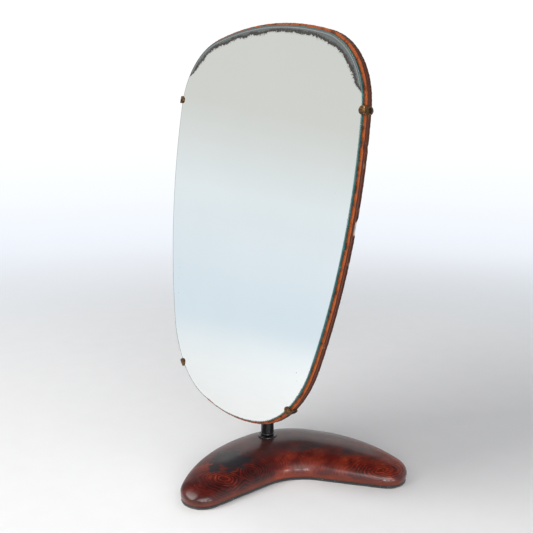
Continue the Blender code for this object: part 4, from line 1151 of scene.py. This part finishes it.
def clip_points(matrix):
    """A rounded-rectangle section, |a|^5 + |b|^5 = 1, carried from the lip's tip to the leg's end.

    The middle line's rows are (x, y, normal x, normal y, half width).
    """
    turn = np.linspace(0.10, math.pi / 2, 14)
    lip_y = GLASS_FRONT - GAP - CLIP_GAUGE / 2
    leg_x = GAP + CLIP_GAUGE / 2
    tip_x = -BOARD_OVERHANG - CLIP_REACH
    end_y = GLASS_FRONT + SCREW_SETBACK + CLIP_HALF_WIDTH
    wide, bend = CLIP_HALF_WIDTH, CLIP_BEND
    flat, full = np.zeros(len(turn)), np.ones(len(turn))
    lip = np.column_stack((tip_x + wide * (1 - np.cos(turn)), full * lip_y, flat, -full,
                           wide * np.sin(turn)))
    curve = np.linspace(0.0, math.pi / 2, 9)
    bent = np.column_stack((leg_x - bend + bend * np.sin(curve),
                            lip_y + bend - bend * np.cos(curve),
                            np.sin(curve), -np.cos(curve), np.full(len(curve), wide)))
    back = turn[::-1]
    leg = np.column_stack((full * leg_x, end_y - wide * (1 - np.cos(back)), full, flat,
                           wide * np.sin(back)))
    x, y, normal_x, normal_y, half_width = np.vstack((lip, bent, leg)).T[..., None]
    angle = 2 * math.pi * (np.arange(28) + 0.5) / 28
    a = np.sign(np.cos(angle)) * np.abs(np.cos(angle)) ** 0.4 * CLIP_GAUGE / 2
    b = np.sign(np.sin(angle)) * np.abs(np.sin(angle)) ** 0.4
    grid = np.stack((x + normal_x * a, y + normal_y * a, half_width * b), axis=-1)
    return placed(grid, matrix)


clip_drill, pilot_drill = rod(PILOT_RADIUS, -0.001, 0.003), rod(PILOT_RADIUS, -0.0093, 0.006)
slot_turns = {"upper_left": 0.4, "upper_right": 1.3, "lower_left": 2.2, "lower_right": 0.9}
for place, point, outward in clip_places():
    matrix = clip_matrix(point, outward)
    at_screw = matrix @ Matrix.Translation((0.0, GLASS_FRONT + SCREW_SETBACK, 0.0)) @ along_x
    strip = make_piece(f"brass_clip_{place}", clip_points(matrix), [BRASS])
    worked(strip, [turned(f"clip_hole_{place}", clip_drill, BRASS, at_screw, steps=32)])
    fit(strip, "mirror", f"clip_{place}")
    board_holes.append(turned(f"pilot_{place}", pilot_drill, PLY_EDGE, at_screw, steps=24))
    made = screw(f"brass_screw_{place}", 0.0012, -0.009, CLIP_GAUGE + 2 * GAP, 0.0027, 0.0008,
                 at_screw, DARK_BRASS, slot_turns[place])
    fit(made, "mirror", f"clip_screw_{place}")
worked(ply_board, board_holes)
fit(ply_board, "mirror", "backing_board")

# %% [markdown]
# ## Floor, light and camera
# A pale floor and a pale wall all round stand for a plain studio. The wall glows softly, because
# a mirror and a lacquered base show whatever surrounds them. Two large soft boxes light the scene,
# and three small, low and warm ones draw the highlights along the front of the base. The camera
# looks a little down from the left of the post.

# %% Floor and glowing wall
def stage_ring(name, profile, made, steps=96):
    """A profile of (radius, height) carried once round the origin."""
    angle = 2 * math.pi * np.arange(steps) / steps
    grid = np.stack((profile[:, :1] * np.cos(angle), profile[:, :1] * np.sin(angle),
                     profile[:, 1:] * np.ones((1, steps))), axis=-1)
    piece = make_piece(name, grid, [made], ends=False)
    return piece


def sweep_finish():
    """Matt pale floor, darker in front, that turns into a softly glowing wall.

    The wall is whiter behind the object, and greyer towards the top elsewhere.
    """
    sweep = Finish("pale_sweep", Specular_IOR_Level=0.1, Emission_Strength=1.0)
    place = sweep.solid()
    mottle = sweep.noise(place, 30.0, 4.0)
    height = sweep.part(place, "Z")
    around = sweep.ramp(height / 2.2, ((0.0, (0.70, 0.79, 0.86)), (0.10, (0.77, 0.84, 0.90)),
                                       (0.20, (0.80, 0.85, 0.88)), (0.36, (0.68, 0.68, 0.65)),
                                       (1.0, (0.66, 0.65, 0.63))))
    behind = sweep.ramp(height / 2.2, ((0.0, (0.86, 0.90, 0.97)), (0.05, (0.93, 0.96, 1.0)),
                                       (0.12, (0.99, 1.0, 1.0)), (1.0, (1.0, 1.0, 1.0))))
    direction = sweep.part(place, "X") + sweep.part(place, "Y") * 0.5
    back = sweep.step(direction, -0.5, 0.5) * sweep.step(sweep.part(place, "Y"), 0.4, 1.2)
    far = sweep.step(sweep.apart(place), 0.45, 1.9)
    glow = sweep.mix(far, (0.0, 0.0, 0.0), sweep.mix(back, around, behind))
    colour = sweep.mix(mottle, (0.80, 0.805, 0.815), (0.84, 0.845, 0.855))
    near_side = sweep.step(sweep.part(place, "Y"), -0.35, -1.00)
    colour = sweep.mix(near_side, colour, (0.44, 0.52, 0.58))
    colour = sweep.mix(far, colour, (0.02, 0.02, 0.02))
    return sweep.surface(Base_Color=colour, Roughness=0.8 + mottle * 0.15, Emission_Color=glow)


cove = np.linspace(0.0, math.pi / 2, 24)
sweep_profile = np.vstack(([(0.0, -0.0002), (0.6, -0.0002), (1.2, -0.0002)],
                           np.column_stack((1.6 + 0.8 * np.sin(cove), 0.7998 - 0.8 * np.cos(cove))),
                           [(2.4, 1.5), (2.4, 2.2)]))
stage_ring("pale_sweep", sweep_profile, sweep_finish())
world = bpy.data.worlds.new("dim_ceiling")
world.use_nodes = True
world.node_tree.nodes["Background"].inputs["Color"].default_value = (0.80, 0.86, 1.0, 1.0)
world.node_tree.nodes["Background"].inputs["Strength"].default_value = 0.22
bpy.context.scene.world = world


# %% Soft boxes
def soft_box(name, place, target, width, height, watts, colour=(1.0, 0.98, 0.95)):
    """A rectangular area light at place that faces the target."""
    lamp = bpy.data.lights.new(name, "AREA")
    lamp.shape = "RECTANGLE"
    lamp.size, lamp.size_y, lamp.energy, lamp.color = width, height, watts, colour
    light = bpy.data.objects.new(name, lamp)
    toward = np.subtract(target, place)
    light.matrix_world = Matrix.Translation(place) @ Matrix.Rotation(
        math.atan2(toward[1], toward[0]) - math.pi / 2, 4, "Z") @ Matrix.Rotation(
        math.atan2(toward[2], math.hypot(toward[0], toward[1])) + math.pi / 2, 4, "X")
    bpy.context.scene.collection.objects.link(light)
    print(f"{name}: {watts} W")


soft_box("front_box", (-0.30, -2.10, 0.80), (0.0, 0.0, 0.1), 2.2, 0.7, 26.0)
soft_box("left_box", (-1.75, -0.30, 1.60), (0.0, 0.0, 0.1), 1.4, 1.0, 34.0)
warm = (1.0, 0.88, 0.84)
soft_box("left_tip_box", (-0.50, -1.80, 0.16), (-0.09, -0.09, 0.02), 0.26, 0.16, 4.0, warm)
soft_box("hollow_box", (0.05, -1.90, 0.14), (0.02, -0.05, 0.02), 0.30, 0.12, 3.0, warm)
soft_box("right_tip_box", (0.75, -1.80, 0.16), (0.12, -0.09, 0.02), 0.34, 0.16, 4.0, warm)

# %% Camera
eye = bpy.data.cameras.new("eye")
eye.lens, eye.sensor_width = 54.03, 36.0
camera = bpy.data.objects.new("eye", eye)
camera.location = (-0.2088, -0.9068, 0.450)
camera.rotation_euler = (math.radians(78.03), 0.0, math.radians(-12.9))
bpy.context.scene.collection.objects.link(camera)
bpy.context.scene.camera = camera
bpy.context.scene.view_settings.view_transform = "Standard"
